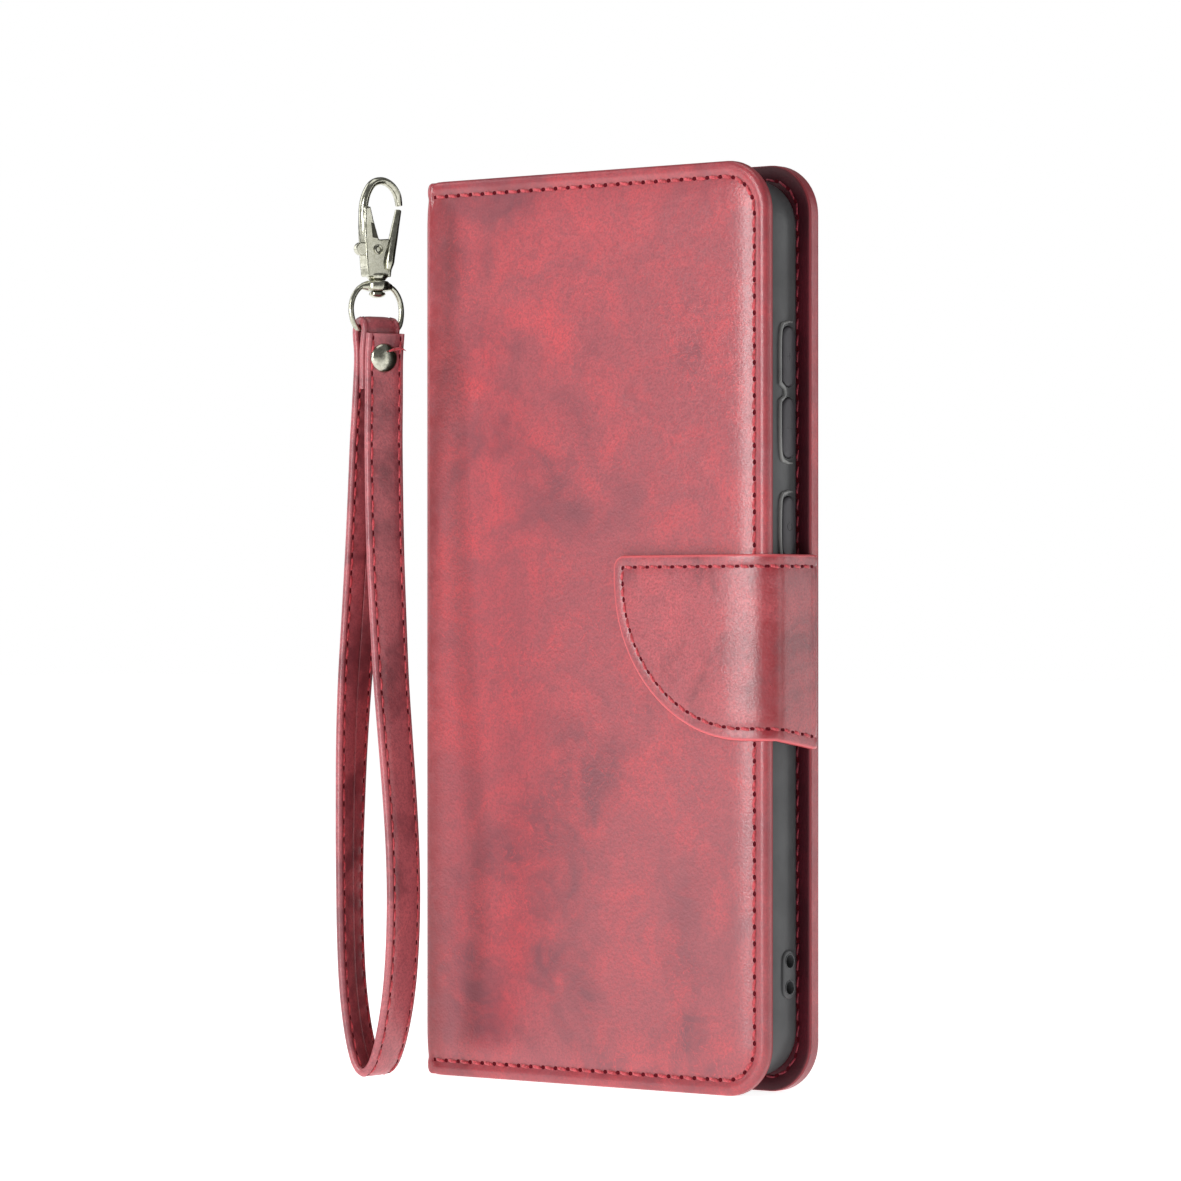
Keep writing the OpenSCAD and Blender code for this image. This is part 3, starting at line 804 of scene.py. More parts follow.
def cut_sheet(name, way, outline, free, insets, columns, row_step, outer, inner, finish,
              hole=None, hole_insets=(0, 0.12, 0.35, 0.8), paint=(0.0, 0.0), stretch_and_shade=None):
    """Cut a sheet to an outline of (distance along, height) and lay it along a way.
    outer and inner give the depth of each face from (distance along, distance from edge,
    distance from the hole). The cut edge is painted up to paint's two distances."""
    outline, free = split_at(list(outline), free, columns)
    loops = [inset(outline, free, d) for d in insets]
    hole_loops = [inset(hole, [1] * len(hole), -d) for d in hole_insets] if hole else []
    flat, wires = [], []
    for loop in loops + hole_loops:
        n = len(flat)
        wires += [(n + i, n + (i + 1) % len(loop)) for i in range(len(loop))]
        flat += list(loop)
    heights = np.arange(min(p[1] for p in outline) + 1, max(p[1] for p in outline), row_step)
    grid = np.array([(u, z) for u in columns for z in heights])
    keep = inside_outline(grid, loops[-1])
    keep &= edge_distance(grid, loops[-1], [1] * len(outline)) > 0.2 * row_step
    if hole:
        keep &= ~inside_outline(grid, hole_loops[-1])
        keep &= edge_distance(grid, hole_loops[-1], [1] * len(hole)) > 0.3 * row_step
    flat += list(grid[keep])
    done = geometry.delaunay_2d_cdt([Vector(p) for p in flat], wires, [], 0, 1e-4)
    points = np.array([tuple(p) for p in done[0]])
    faces = np.array([tuple(f) for f in done[2]])
    centres = points[faces].mean(axis=1)
    wanted = inside_outline(centres, outline)
    if hole:
        wanted &= ~inside_outline(centres, hole)
    a, b, c = (points[faces[:, k]] for k in range(3))
    area = (b[:, 0] - a[:, 0]) * (c[:, 1] - a[:, 1]) - (b[:, 1] - a[:, 1]) * (c[:, 0] - a[:, 0])
    faces = faces[wanted & (abs(area) > 1e-7)]
    from_edge = edge_distance(points, outline, free)
    from_hole = edge_distance(points, hole, [1] * len(hole)) if hole else np.full(len(points), 99.0)
    u, z = points[:, 0], points[:, 1]
    shell = np.vstack([
        lay_on(way, u, z, outer(u, from_edge, from_hole)),
        lay_on(way, u, z, inner(u, from_edge, from_hole)),
    ])
    n = len(points)
    seen = {}
    for f in faces:
        for i, j in ((f[0], f[1]), (f[1], f[2]), (f[2], f[0])):
            seen[(i, j)] = True
    rim = [(i, j) for i, j in seen if (j, i) not in seen]
    all_faces = [tuple(map(int, f)) for f in faces]
    all_faces += [tuple(int(k) + n for k in f[::-1]) for f in faces]
    all_faces += [(int(j), int(i), int(i) + n, int(j) + n) for i, j in rim]
    near = np.minimum(from_edge, from_hole)
    painted = np.tile(np.interp(near, paint, (1, 0)) if paint[1] else np.zeros(n), 2)
    pulled_and_shaded = np.tile(stretch_and_shade(u, from_edge), 2) if stretch_and_shade else None
    return make_piece(name, shell, all_faces, finish, painted, pulled_and_shaded, crease=55)


def rounded(x0, x1, z0, z1, radius, steps=10):
    """A rectangle with rounded corners, anticlockwise from its lower right."""
    outline = []
    for cx, cz, start in (
        (x1 - radius, z0 + radius, -90), (x1 - radius, z1 - radius, 0),
        (x0 + radius, z1 - radius, 90), (x0 + radius, z0 + radius, 180),
    ):
        for k in range(steps + 1):
            a = math.radians(start + 90 * k / steps)
            outline.append((cx + radius * math.cos(a), cz + radius * math.sin(a)))
    return outline


def profile(*pairs):
    """Depth below the face at each distance from the edge."""
    far, deep = zip(*pairs)
    return lambda d: np.interp(d, far, deep)


left = ends("spine_skin")[0][0]
cover_front, back_face = ends("front_skin")[0][1], ends("back_skin")[1][1]
right = ends("front_skin")[1][0]
spine_middle = (cover_front + back_face) / 2
case_height = ends("front_skin")[1][2]
corner = 9.5
bend_radius = 1.6
hide = 0.8
rim_width = 3.6
spine_drop = 0.7
side_run = spine_middle - cover_front - bend_radius
bend_run = bend_radius * math.pi / 2
cover_from = side_run + bend_run
cover_to = cover_from + right - left - bend_radius

# Distance from the edge and depth: rolled edge, sewn channel, padded panel
padded_edge = profile(
    (0, 1.3), (0.03, 1.04), (0.12, 0.8), (0.28, 0.6), (0.5, 0.45), (0.8, 0.33), (1.15, 0.25),
    (1.6, 0.25), (2.1, 0.38), (2.5, 0.56), (2.9, 0.64), (3.25, 0.58), (3.8, 0.44), (4.5, 0.29),
    (5.3, 0.16), (6.2, 0.08), (7.3, 0.02), (8.6, 0),
)
plain_edge = profile(
    (0, 0.6), (0.03, 0.42), (0.12, 0.22), (0.28, 0.1), (0.5, 0.04), (0.8, 0), (1.6, 0.05), (2.1, 0.2),
    (2.5, 0.4), (2.9, 0.5), (3.25, 0.44), (3.8, 0.3), (4.5, 0.15), (5.3, 0.06), (6.2, 0),
)
cover_insets = [
    0, 0.03, 0.12, 0.28, 0.5, 0.8, 1.15, 1.6, 2.1, 2.5, 2.9, 3.25, 3.5, 3.7, 4.5, 5.3, 6.2, 7.3,
]


def cover_outline():
    """Half of the hide laid flat, from the middle of the spine to the opening edge."""
    low = [(-0.04, spine_drop), (side_run, spine_drop), (side_run + bend_run / 2, spine_drop * 0.8),
           (cover_from, spine_drop * 0.35), (cover_from + 1.2, 0.05), (cover_from + 2.5, 0)]
    arcs = rounded(0, cover_to, 0, case_height, corner, 14)[:30]
    outline = low + arcs + [(u, case_height - z) for u, z in reversed(low)]
    return outline, [1] * (len(outline) - 1) + [0]


def hide_stretch_and_shade(u, d):
    """How much painted shade the hide gets, together with the colour of stretched hide: most where it turns
    at the spine, less on the rim and along the sewn channel.
    """
    fold = np.interp(
        u, (0, side_run - 1, side_run + 1.2, cover_from + 1.5, cover_from + 4.5), (0.35, 0.5, 1, 0.85, 0)
    )
    return np.maximum(fold, np.interp(d, (0, 1, 2.6, 3.6), (0.75, 0.35, 0.55, 0)))


def cover_depths(whole, edge):
    """Depths of the hide's two faces: thin on the spine, a full rim round the board."""
    def full(u):
        return np.interp(u, (cover_from, cover_from + 0.5), (hide, whole))

    def outer(u, d, h):
        return np.maximum(edge(d) * full(u) / 2, np.interp(h, (0, 0.12, 0.35, 0.8), (0.4, 0.14, 0.03, 0)))

    def inner(u, d, h):
        solid = (d < rim_width) | ((u > cover_from) & (u < cover_from + rim_width - 0.6))
        depth = np.where(solid & (u > cover_from), full(u), hide)
        return np.maximum(depth - np.interp(d, (0, 0.15, 0.4), (0.12, 0.04, 0)), hide * 0.6)

    return outer, inner


red_leather = leather_finish(
    "cover leather", rgb(128, 62, 72), rgb(166, 74, 82), rgb(212, 74, 80), mottle=24
)
outline, free = cover_outline()
columns = np.concatenate([
    np.arange(1.5, side_run, 1.5), np.arange(side_run, cover_from + 0.6, 0.3),
    np.arange(cover_from + 1.5, cover_to, 2.2),
])
front_way = bends((left, spine_middle), -90, [(side_run, 0), (bend_run, 90), (cover_to - cover_from, 0)], 1)
back_way = bends((left, spine_middle), 90, [(side_run, 0), (bend_run, -90), (cover_to - cover_from, 0)], -1)
front_depths = cover_depths(2.0, padded_edge)
back_depths = cover_depths(2.6, plain_edge)
tray_edge = ends("phone_tray")[1][0]
window_low, window_high = tray_edge - 30.5, tray_edge - 2.5
window_z0, window_z1 = 124.2, 162.2


def on_cover(x):
    return cover_from + x - left - bend_radius


window = rounded(on_cover(window_low), on_cover(window_high), window_z0, window_z1, 6, 8)
front_hide = cut_sheet(
    "front_cover_leather", front_way, outline, free, cover_insets, columns, 2.2,
    *front_depths, red_leather, stretch_and_shade=hide_stretch_and_shade,
)
back_hide = cut_sheet(
    "back_cover_leather", back_way, outline, free, cover_insets, columns, 2.2,
    *back_depths, red_leather, hole=window, stretch_and_shade=hide_stretch_and_shade,
)
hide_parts("front_skin")
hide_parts("back_skin", "spine_skin")

front_bend = [(left, spine_middle - 5.2, 85), (left + 3.7, cover_front, 85)]
back_bend = [(left + 3.7, back_face, 85), (left, spine_middle + 5.2, 85)]


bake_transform(front_hide)
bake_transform(back_hide)


def sewn_row(way, line, step, depth, out):
    """A sewn line at a depth in a sheet, from its corners, and the direction out of its face."""
    line = [np.array(p) for p in line]
    fine = []
    for p, q in zip(line, line[1:]):
        n = max(1, int(np.linalg.norm(q - p) / step))
        fine += [p + (q - p) * k / n for k in range(n)]
    u, z = np.array(fine + [line[-1]]).T
    place = lay_on(way, u, z, np.full(len(u), depth))
    return place, lay_on(way, u, z, np.full(len(u), depth + out)) - place


row_in, row_from = 2.9, cover_from + 0.6
cover_line = [p for p in inset(outline, free, row_in) if p[0] > row_from]
cover_line = [(row_from, row_in)] + cover_line + [(row_from, case_height - row_in)]
for cover, way, body in (("front", front_way, "front_cover"), ("back", back_way, "holder")):
    row = sewn_row(way, cover_line, 0.5, 0.6, -1)
    for piece in sew(cover + "_cover", *row, 3.0):
        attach(piece, body)


# Lining: a smooth dark red sheet over the inside of both boards and the spine, sewn through with
# the hide. It bends at the same two folds.
def lining_finish(name, dark, plain):
    """Smooth lining leather with a very fine grain."""
    f = Finish(name, Specular_IOR_Level=0.35)
    clouds = f.noise(60, detail=4, roughness=0.6)
    base = f.ramp(clouds, (0.35, dark), (0.65, plain))
    speckle = f.ramp(f.noise(2400, detail=2), (0.36, 0.5), (0.58, 0.0))
    painted = f.nodes.new("ShaderNodeAttribute")
    painted.attribute_name = "painted"
    f.colour(f.mix(painted.outputs["Fac"], f.mix(speckle, base, dark), rgb(150, 52, 60)))
    f.rough(f.noise(800), 0.45, 0.6)
    f.bump(f.pores(2200), 0.03, 0.6)
    return f.material


lining_red = lining_finish("dark red lining", rgb(62, 12, 24), rgb(98, 24, 38))


def dark_thread_finish():
    """The same sewing thread in the lining's darker red."""
    f = Finish("dark red thread", Roughness=0.6)
    twist = f.noise(2600, detail=1, stretch=(1, 1, 0.6))
    f.colour(f.ramp(twist, (0.35, rgb(100, 18, 36)), (0.62, rgb(160, 44, 62))))
    f.bump(twist, 0.06)
    return f.material


dark_thread = dark_thread_finish()
lining_thick = 0.6
lining_left = left + hide
lining_bend = 0.7
lining_row_in = 2.65
sewn_inner = profile(
    (0, 0.34), (0.1, 0.12), (0.35, 0.02), (2.0, 0), (2.35, 0.12), (lining_row_in, 0.18), (2.95, 0.12),
    (3.3, 0),
)


def lining_outline(length, fold_at, shrink=0.08):
    """Half of the lining laid flat, a little smaller than the hide."""
    low = [(-0.04, spine_drop + shrink), (fold_at, spine_drop * 0.45 + shrink), (fold_at + 1.5, shrink)]
    arcs = rounded(0, length - shrink, shrink, case_height - shrink, corner - shrink, 14)[:30]
    shape = low + arcs + [(u, case_height - z) for u, z in reversed(low)]
    return shape, [1] * (len(shape) - 1) + [0]


for cover, face_y, sign, body, bend, nodes_held, bend_bodies in (
    ("front", ends("front_lining")[0][1], -1, "front_cover", front_bend,
     ["front_lining", "spine_lining"], ("spine", "front_cover")),
    ("back", ends("back_lining")[1][1], 1, "holder", back_bend,
     ["back_lining"], ("holder", "spine")),
):
    run = sign * (face_y - spine_middle) - lining_bend
    fold_at = run + lining_bend * math.pi / 2
    length = fold_at + right - lining_left - lining_bend
    way = bends(
        (lining_left, spine_middle), 90 * sign,
        [(run, 0), (lining_bend * math.pi / 2, -90 * sign), (length - fold_at, 0)], -sign,
    )
    shape, shape_free = lining_outline(length, fold_at)
    columns = np.concatenate([
        np.arange(1, run, 1.5), np.arange(run, fold_at + 0.5, 0.25), np.arange(fold_at + 1.5, length, 2.5),
    ])
    opening = None
    if cover == "back":
        shift = fold_at - lining_left - lining_bend
        opening = rounded(window_low + shift, window_high + shift, window_z0, window_z1, 6, 8)
    lining = cut_sheet(
        cover + "_cover_lining", way, shape, shape_free,
        [0, 0.1, 0.35, 2.0, 2.35, lining_row_in, 2.95, 3.3], columns, 2.5,
        lambda u, d, h: np.zeros(len(u)), lambda u, d, h: lining_thick - sewn_inner(d), lining_red,
        hole=opening, paint=(0.0, 0.12),
    )
    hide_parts(*nodes_held)
    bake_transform(lining)
    row_from = fold_at + 0.8
    line = [p for p in inset(shape, shape_free, lining_row_in) if p[0] > row_from]
    line = [(row_from, line[0][1])] + line + [(row_from, line[-1][1])]
    row = sewn_row(way, line, 0.4, lining_thick - 0.16, 1)
    for piece in sew(cover + "_lining", *row, 3.0, 2.3, 0.22, colour=dark_thread):
        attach(piece, body)


# Camera window: a turned lip of leather round the hole through the back cover.
window_line = [
    (x, back_face - 1.6, z) for x, z in rounded(window_low, window_high, window_z0, window_z1, 6, 12)
]
lip = make_piece(
    "camera_window_lip", *tube(window_line, 0.5, 16, closed=True, flat=3.4, across=(0, 1, 0)), red_leather
)
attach(lip, "holder")


# Boards, keeper and magnet: grey board inside each cover, a steel disc in the front one and a
# magnet in the flap. They are closed in, and show only where the window cuts the back board.
def board_finish():
    f = Finish("grey board", Roughness=0.9)
    fibres = f.noise(1200, detail=4, stretch=(1, 1, 0.25))
    f.colour(f.ramp(fibres, (0.3, rgb(116, 110, 100)), (0.7, rgb(150, 143, 130))))
    f.bump(fibres, 0.05)
    return f.material


def steel_finish():
    f = Finish("plain steel", Metallic=1.0)
    brushed = f.noise(900, detail=3, stretch=(1, 1, 0.05))
    f.colour(f.ramp(brushed, (0.3, rgb(120, 122, 126)), (0.7, rgb(160, 162, 165))))
    f.rough(brushed, 0.3, 0.45)
    return f.material


def finish_node(node, material):
    """Give a part of the frame its finish, and note where its points were laid."""
    part = frame["nodes"][node]
    places = np.array([v.co for v in part.data.vertices], np.float32)
    part.data.attributes.new("laid", "FLOAT_VECTOR", "POINT").data.foreach_set("vector", places.ravel())
    part.data.materials.clear()
    part.data.materials.append(material)


board, steel = board_finish(), steel_finish()
for node in ("back_board", "front_board"):
    finish_node(node, board)
for node in ("keeper_plate", "tongue_magnet"):
    finish_node(node, steel)


# Pockets: four thin layers on the inside of the front cover, a long one for notes and three
# stepped card slots, each open towards the spine and sewn down on its other sides.
pocket_hem = profile((0, 0.16), (0.12, 0.04), (0.4, 0), (1.0, 0), (1.25, 0.06), (1.5, 0))
for node in ("cash_pocket", "card_slot_rear", "card_slot_middle", "card_slot_front"):
    low, high = ends(node)
    span, tall = high[0] - low[0], high[2] - low[2]
    way = bends((low[0], low[1]), 0, [(span, 0)], 1)
    turn = corner - 1.4 if node == "cash_pocket" else 1.4
    shape = [(u, low[2] + z) for u, z in rounded(0, span, 0, tall, turn, 8)]
    thick = high[1] - low[1]
    pocket = cut_sheet(
        node + "_leather", way, shape, [1] * len(shape),
        [0, 0.12, 0.4, 1.0, 1.25], np.arange(2, span, 4), 6,
        lambda u, d, h: np.zeros(len(u)), lambda u, d, h: thick - pocket_hem(d) * 0.8,
        lining_red, paint=(0.0, 0.1),
    )
    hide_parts(node)
    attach(pocket, "front_cover")
    edges = np.array([(1.5, 1.2), (span - 1.2, 1.2), (span - 1.2, tall - 1.2), (1.5, tall - 1.2)])
    if node == "card_slot_front":
        line = np.vstack([
            p + (q - p) * t for p, q in zip(edges, edges[1:]) for t in np.arange(0, 1, 0.01)
        ])
        place = lay_on(way, line[:, 0], line[:, 1] + low[2], np.full(len(line), thick - 0.02))
        outward = np.tile((0, 1.0, 0), (len(line), 1))
        for piece in sew(node, place, outward, 3.0, 2.2, 0.2, colour=dark_thread):
            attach(piece, "front_cover")


# Phone tray: one moulding of soft grey rubber glued to the back lining, with a rounded wall, a
# lip over the phone's edge, slots for the buttons and ports, and a pad with two lanyard holes.
def rubber_finish(name, dark, plain, smooth=0.34, coarse=0.46):
    """Matt moulded rubber with a fine spark-eroded texture."""
    f = Finish(name, Specular_IOR_Level=0.45)
    clouds = f.noise(120, detail=3)
    f.colour(f.ramp(clouds, (0.35, dark), (0.65, plain)))
    fine = f.noise(3200, detail=2, roughness=0.7)
    f.rough(f.noise(500, detail=3), smooth, coarse)
    f.bump(fine, 0.02, 0.5)
    return f.material


rubber = rubber_finish("grey rubber", rgb(72, 73, 74), rgb(84, 85, 86))
button_rubber = rubber_finish("button rubber", rgb(60, 58, 62), rgb(70, 68, 72))
tray_low, tray_high = ends("phone_tray")
tray_right = ends("volume_up_button")[1][0] - 0.5
tray_back = tray_high[1]
button_y = sum(p[1] for p in ends("power_button")) / 2
tray_wall = [
    (1.2, 0), (0.6, 0), (0.3, 0.2), (0.14, 0.7), (0.04, 1.6), (0, 2.8), (0, 4.2), (0.06, 5.6), (0.2, 6.9),
    (0.42, 7.9), (0.62, 8.5), (0.75, 8.85), (1.05, 9.0), (1.5, 9.0), (1.85, 8.9), (2.0, 8.7), (1.95, 8.5),
    (1.7, 8.4), (1.25, 8.35), (1.2, 8.2), (1.2, 1.2), (1.4, 1.0), (2.0, 1.0),
]
tray_rings = [
    [(x, tray_back - up, z) for x, z in rounded(
        tray_low[0] + i, tray_right - i, tray_low[2] + i, tray_high[2] - i, 9 - i, 12)]
    for i, up in tray_wall
]


def pill(z, length, width, steps):
    """Rings of an obround on the tray's right wall, each (inset, distance out of the wall)."""
    rings = []
    for back, out in steps:
        r = width / 2 - back
        reach = length / 2 - width / 2
        rings.append(
            [(tray_right + out, button_y + r * math.sin(a), z + reach + r * math.cos(a))
             for a in np.linspace(-math.pi / 2, math.pi / 2, 11)]
            + [(tray_right + out, button_y - r * math.sin(a), z - reach - r * math.cos(a))
               for a in np.linspace(-math.pi / 2, math.pi / 2, 11)]
        )
    return rings


def slot_cutter(x, y, z, length, width, axis):
    """An obround bar that cuts a slot: along X for the side wall, along Z for the ends."""
    ring = [
        (s * (length - width) / 2 + width / 2 * math.cos(a), width / 2 * math.sin(a))
        for s, arc in ((1, (-90, 90)), (-1, (90, 270)))
        for a in np.radians(np.linspace(*arc, 12))
    ]
    if axis == "x":
        return skin_rings([[(x + t, y + v, z + u) for u, v in ring] for t in (-2.5, 2.5)])
    return skin_rings([[(x + u, y + v, z + t) for u, v in ring] for t in (-2.5, 2.5)])


def combine(piece, other, operation):
    """Fuse another piece with this one, or cut it out of this one, and drop the other."""
    step = piece.modifiers.new("combine", "BOOLEAN")
    step.operation, step.solver, step.object = operation, "EXACT", other
    step.use_hole_tolerant = operation == "DIFFERENCE"
    made = bpy.data.meshes.new_from_object(piece.evaluated_get(bpy.context.evaluated_depsgraph_get()))
    piece.modifiers.clear()
    shape = bmesh.new()
    shape.from_mesh(made)
    piece.data.clear_geometry()
    finish_mesh(shape, piece.data, 40)
    bpy.data.meshes.remove(made)
    bpy.data.objects.remove(other)


button_nodes = ("volume_up_button", "volume_down_button", "power_button")
button_heights = [sum(p[2] for p in ends(n)) / 2 for n in button_nodes]
lanyard_height = 21.9
lanyard_pitch = 4.8
port_y = 1.2
tray_middle = (tray_low[0] + tray_right) / 2
tray_window = rounded(window_low + 1.5, window_high - 1.5, window_z0 + 1.5, window_z1 - 1.5, 4.5, 8)
cutters = [slot_cutter(tray_right, button_y, z, 11.3, 4.1, "x") for z in button_heights]
cutters += [
    slot_cutter(tray_right, button_y, lanyard_height + s * lanyard_pitch / 2, 2.4, 2.399, "x")
    for s in (-1, 1)
]
cutters += [
    slot_cutter(tray_middle, port_y, tray_low[2], 12, 5.2, "z"),
    slot_cutter(tray_middle + 21, port_y, tray_low[2], 9, 2.4, "z"),
    slot_cutter(tray_middle - 16, port_y, tray_low[2], 1.6, 1.599, "z"),
    slot_cutter(tray_middle - 16, port_y, tray_high[2], 1.6, 1.599, "z"),
    skin_rings([[(x, y, z) for x, z in tray_window] for y in (tray_back - 3, tray_back + 3)]),
]
pad = pill(lanyard_height, 9, 3.8, [(0, -1.0), (0, 0.12), (0.08, 0.27), (0.25, 0.37), (0.5, 0.4)])
tray = make_piece("tray_moulding", *skin_rings(tray_rings), rubber)
combine(tray, make_piece("tray_pad", *skin_rings(pad), rubber), "UNION")
combine(tray, make_piece("tray_cutters", *join(*cutters), rubber), "DIFFERENCE")
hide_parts("phone_tray")
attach(tray, "holder")

rims = [
    tube([
        (
            tray_right + 0.4, button_y + 1.28 * math.cos(a),
            lanyard_height + s * lanyard_pitch / 2 + 1.28 * math.sin(a),
        )
        for a in np.arange(24) * math.tau / 24
    ], 0.13, 8, closed=True, across=(1, 0, 0))
    for s in (-1, 1)
]
tray_rims = make_piece("tray_raised_rims", *join(*rims), rubber)
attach(tray_rims, "holder")


def recess_rim(heights):
    """The raised rim down the front side of a recess, turning in at its ends and between buttons."""
    rim = [(1.2, heights[0] + 6.4), (-0.6, heights[0] + 6.2), (-2.3, heights[0] + 4.6)]
    for above, below in zip(heights, heights[1:]):
        gap = (above + below) / 2
        rim += [
            (-2.5, gap + 2.4), (-2.2, gap + 1.5), (-1.2, gap + 0.7),
            (-1.2, gap - 0.7), (-2.2, gap - 1.5), (-2.5, gap - 2.4),
        ]
    rim += [(-2.3, heights[-1] - 4.6), (-0.6, heights[-1] - 6.2), (1.2, heights[-1] - 6.4)]
    line = smooth_line([(tray_right + 0.05, button_y + y, z) for y, z in rim], 0.3)
    thick = np.interp(np.linspace(0, 1, len(line)), (0, 0.1, 0.9, 1), (0.15, 0.42, 0.42, 0.15))
    return tube(line, thick, 10, across=(1, 0, 0))


# The rims are polished in the mould, where the rest of the tray is matt. Their lighter grey is a painted
# highlight: the bright line along each recess's edge.
polished_and_highlighted = rubber_finish("polished rubber rim", rgb(120, 121, 120), rgb(140, 141, 139), 0.12, 0.22)
recess_rims = join(recess_rim(button_heights[:2]), recess_rim(button_heights[2:]))
button_rims = make_piece("tray_button_rims", *recess_rims, polished_and_highlighted)
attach(button_rims, "holder")


# Buttons: three soft pills that stand out of the tray's wall, marked plus, minus and power.
def bar(y0, y1, z0, z1, out):
    """A small raised bar on a button's face."""
    return skin_rings([
        [
            (tray_right + x, button_y + y, z)
            for y, z in ((y0 + k, z0 + k), (y1 - k, z0 + k), (y1 - k, z1 - k), (y0 + k, z1 - k))
        ]
        for x, k in ((out - 0.2, 0), (out + 0.03, 0), (out + 0.06, 0.04))
    ])


for node, z in zip(button_nodes, button_heights):
    head = skin_rings(pill(z, 11, 3.8, [
        (0.1, -1.2), (0, -1.1), (0, 0.1), (0.06, 0.26), (0.2, 0.38), (0.45, 0.44), (0.9, 0.46),
    ]))
    marks = {
        "volume_up_button": [
            bar(-0.7, 0.7, z - 0.12, z + 0.12, 0.44), bar(-0.12, 0.12, z - 0.7, z + 0.7, 0.44),
        ],
        "volume_down_button": [bar(-0.7, 0.7, z - 0.12, z + 0.12, 0.44)],
        "power_button": [
            bar(-0.1, 0.1, z + 0.1, z + 0.95, 0.44),
            tube([
                (tray_right + 0.42, button_y + 0.7 * math.sin(a), z + 0.7 * math.cos(a))
                for a in np.radians(np.linspace(40, 320, 20))
            ], 0.11, 8, across=(1, 0, 0)),
        ],
    }[node]
    button = make_piece(node + "_rubber", *join(head, *marks), button_rubber, crease=35)
    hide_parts(node)
    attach(button, node.replace("_button", ""))


# Flap: hide and lining bonded together with painted edges. Its tail is sewn into the back cover's
# edge; it crosses the opening side and folds softly over the front as a half-round tongue.
tongue_low, tongue_high = ends("tongue_skin")
side_low, side_high = ends("flap_side_skin")
tail_low, tail_high = ends("flap_tail")
flap_skin, flap_lining = 0.9, 0.6
root_radius = 2.4
fold_out, fold_turn = 4.4, 74
ease_out, ease_turn = 34.0, 16
tail_run = side_high[0] - root_radius - tail_low[0]
fold_sine, fold_cosine = math.sin(math.radians(fold_turn)), math.cos(math.radians(fold_turn))
side_to = tongue_low[1] + fold_out * fold_sine + ease_out * (1 - fold_sine)
side_length = tail_high[1] - root_radius - side_to
fold_ends_x = side_high[0] - fold_out * (1 - fold_cosine) - ease_out * fold_cosine
flap_runs = [
    (tail_run, 0), (root_radius * math.pi / 2, -90), (side_length, 0),
    (fold_out * math.radians(fold_turn), -fold_turn), (ease_out * math.radians(ease_turn), -ease_turn),
    (fold_ends_x - tongue_low[0], 0),
]
flap_way = bends((tail_low[0], tail_high[1]), 0, flap_runs, -1)
flap_length = sum(length for length, _ in flap_runs)
side_from = tail_run + root_radius * math.pi / 2
flap_cut = side_from + 0.6
fold_at = side_from + side_length
flap_top, flap_low = tongue_high[2], side_low[2]
low_reach, curve_top, tip_radius = 29.9, 94, 2.4
cut_low = flap_low + (tongue_low[2] - flap_low) * 0.6 / (side_length + 2)

# The root's two sheets run a hair into the tongue's, so that no line opens between them
root_to = flap_cut + 0.04
root_shape = [
    (0, flap_low), (side_from, flap_low), (root_to, cut_low), (root_to, flap_top), (0, flap_top),
]
root_free = [1, 1, 0, 1, 0]
tongue_shape = [(flap_cut, cut_low), (fold_at + 2, tongue_low[2])]
tongue_shape += [
    (flap_length - low_reach * (1 - math.sin(a)), curve_top - (curve_top - tongue_low[2]) * math.cos(a))
    for a in np.radians(np.linspace(0, 90, 31))
]
tongue_shape += [
    (flap_length - tip_radius * (1 - math.cos(a)), flap_top - tip_radius * (1 - math.sin(a)))
    for a in np.radians(np.linspace(0, 90, 9))
]
tongue_shape.append((flap_cut, flap_top))
tongue_free = [1] * (len(tongue_shape) - 1) + [0]
flap_edge = profile(
    (0, 0.42), (0.05, 0.22), (0.15, 0.09), (0.35, 0.02), (0.6, 0), (1.7, 0), (1.95, 0.08), (2.15, 0.13),
    (2.33, 0.08), (2.6, 0),
)
flap_insets = [0, 0.05, 0.15, 0.35, 0.6, 1.7, 1.95, 2.15, 2.33]
flap_columns = np.concatenate([
    np.arange(1, tail_run, 1.2), np.arange(tail_run, side_from + 0.3, 0.25),
    np.arange(side_from + 1, fold_at, 1.2), np.arange(fold_at, fold_at + 4.6, 0.3),
    np.arange(fold_at + 5, flap_length, 1.4),
])
flap_leather = leather_finish(
    "flap leather", rgb(120, 54, 62), rgb(170, 76, 84), rgb(208, 84, 90), mottle=40
)
root_bend = [(right - 0.1, tail_high[1] - 0.4, 80), (side_high[0], tail_high[1] - 2.8, 80)]
fold_bend = [(side_high[0], side_to + 0.9, 80), (side_high[0] - 6.2, tongue_low[1], 80)]
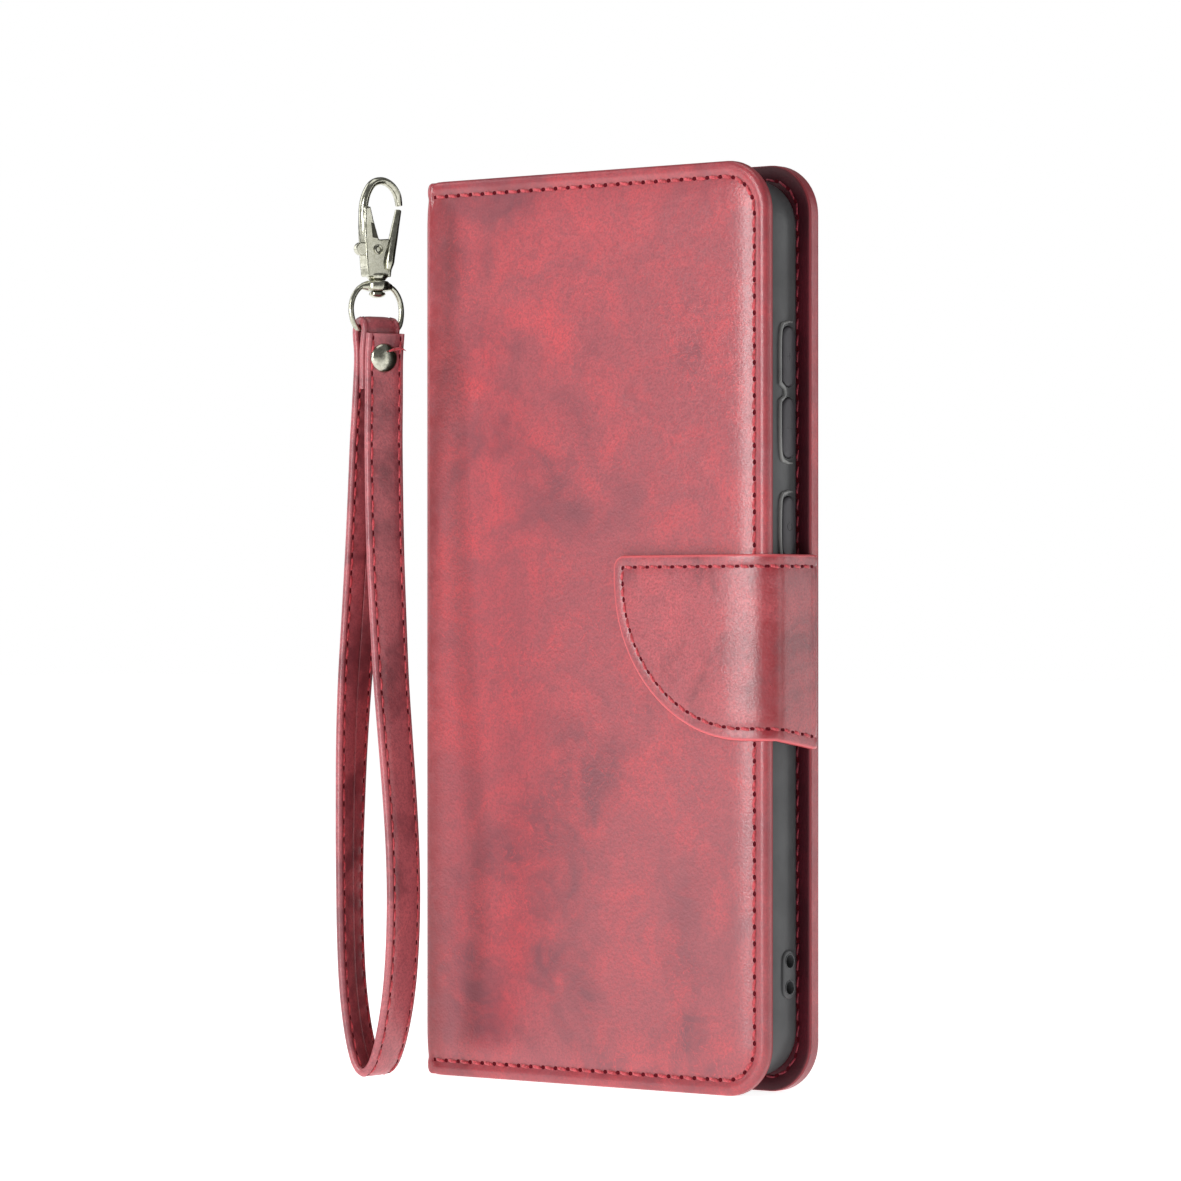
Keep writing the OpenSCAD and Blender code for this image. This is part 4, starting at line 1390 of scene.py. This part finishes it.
for part, shape, shape_free, bend_bodies, bend, skin_nodes, lining_nodes in (
    ("root", root_shape, root_free, ("holder", "flap_side"), root_bend, ["flap_tail"], []),
    ("tongue", tongue_shape, tongue_free, ("flap_side", "flap_tongue"), fold_bend,
     ["flap_side_skin", "tongue_skin"], ["flap_side_lining", "tongue_lining"]),
):
    skin = cut_sheet(
        f"flap_{part}_leather", flap_way, shape, shape_free, flap_insets, flap_columns, 1.4,
        lambda u, d, h: flap_edge(d), lambda u, d, h: np.full(len(u), flap_skin), flap_leather,
        paint=(0.25, 0.55),
        # Painted shade: a dark red band where the flap folds round the opening side and turns away from the
        # light.
        stretch_and_shade=lambda u, d: np.interp(u - fold_at, (-1, 1, 4.5, 7), (0.2, 1, 1, 0)),
    )
    lining_shape = [(max(u, tail_run + 0.8), z) for u, z in shape]
    lining = cut_sheet(
        f"flap_{part}_lining", flap_way, lining_shape, shape_free, [0, 0.08, 0.3],
        flap_columns[flap_columns > tail_run + 1], 1.8,
        lambda u, d, h: np.full(len(u), flap_skin),
        lambda u, d, h: flap_skin + flap_lining - np.interp(d, (0, 0.08, 0.3), (0.3, 0.1, 0)),
        lining_red, paint=(0.05, 0.2),
    )
    sewn = []
    if part == "tongue":
        row = sewn_row(flap_way, inset(shape, shape_free, 2.2), 0.4, 0.12, -1)
        sewn = sew("flap_tongue_0", *row, 2.9, 2.0, 0.32, wide=0.36)
    for piece in (skin, lining, *sewn):
        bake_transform(piece)
    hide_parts(*skin_nodes)
    if lining_nodes:
        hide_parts(*lining_nodes)


# Floor and lights: a pale floor that runs into a white room. An upright strip light stands in
# front, soft boxes at the left and above, and two weak panels at the right, one for the strap.
def floor_finish():
    f = Finish("pale floor", Roughness=0.8, Specular_IOR_Level=0.0, Emission_Strength=0.86)
    f.shader.inputs["Emission Color"].default_value = (1, 1, 1, 1)
    speck = f.noise(30, detail=2)
    f.colour(f.ramp(speck, (0.3, rgb(250, 250, 250)), (0.7, rgb(254, 254, 254))))
    return f.material


reach = 6000
floor_corners = [(-reach, -reach, 0), (reach, -reach, 0), (reach, reach, 0), (-reach, reach, 0)]
floor = make_piece("floor", floor_corners, [(0, 1, 2, 3)], floor_finish())


light_distance = 900
case_middle = 85


def soft_light(name, turn, lift, width, tall, power):
    """A soft box aimed at the case, placed by its bearing from the front and its height."""
    light = bpy.data.objects.new(name, bpy.data.lights.new(name, "AREA"))
    a, e = math.radians(turn), math.radians(lift)
    target = Vector((0, 0, case_middle))
    away = Vector((math.sin(a) * math.cos(e), -math.cos(a) * math.cos(e), math.sin(e)))
    light.location = (target + away * light_distance) * MM
    light.rotation_euler = (target * MM - light.location).to_track_quat("-Z", "Y").to_euler()
    light.data.shape = "RECTANGLE"
    light.data.size, light.data.size_y = width * MM, tall * MM
    light.data.energy = power
    bpy.context.scene.collection.objects.link(light)


soft_light("front strip", -12, 3, 230, 900, 6.1)
soft_light("left softbox", -75, 25, 500, 700, 2.2)
soft_light("right panel", 141, 6, 170, 700, 0.8)
soft_light("strap card", 104, 4, 200, 360, 0.42)
soft_light("top softbox", 0, 80, 700, 500, 1.6)

# The red front is kept out of mirror images, so that the nickel shows the white room
for piece in bpy.data.objects:
    if piece.name.startswith(("front_cover_leather", "flap_", "front_cover_thread")):
        piece.visible_glossy = False

world = bpy.data.worlds.new("white room")
world.use_nodes = True
room = world.node_tree
room.nodes["Background"].inputs["Color"].default_value = (1, 1, 1, 1)
room.nodes["Background"].inputs["Strength"].default_value = 0.18
seen = room.nodes.new("ShaderNodeBackground")
seen.inputs["Color"].default_value = (1, 1, 1, 1)
seen.inputs["Strength"].default_value = 1.0
path = room.nodes.new("ShaderNodeLightPath")
choose = room.nodes.new("ShaderNodeMixShader")
room.links.new(path.outputs["Is Camera Ray"], choose.inputs["Fac"])
room.links.new(room.nodes["Background"].outputs["Background"], choose.inputs[1])
room.links.new(seen.outputs["Background"], choose.inputs[2])
room.links.new(choose.outputs["Shader"], room.nodes["World Output"].inputs["Surface"])
bpy.context.scene.world = world
bpy.context.scene.view_settings.view_transform = "Standard"
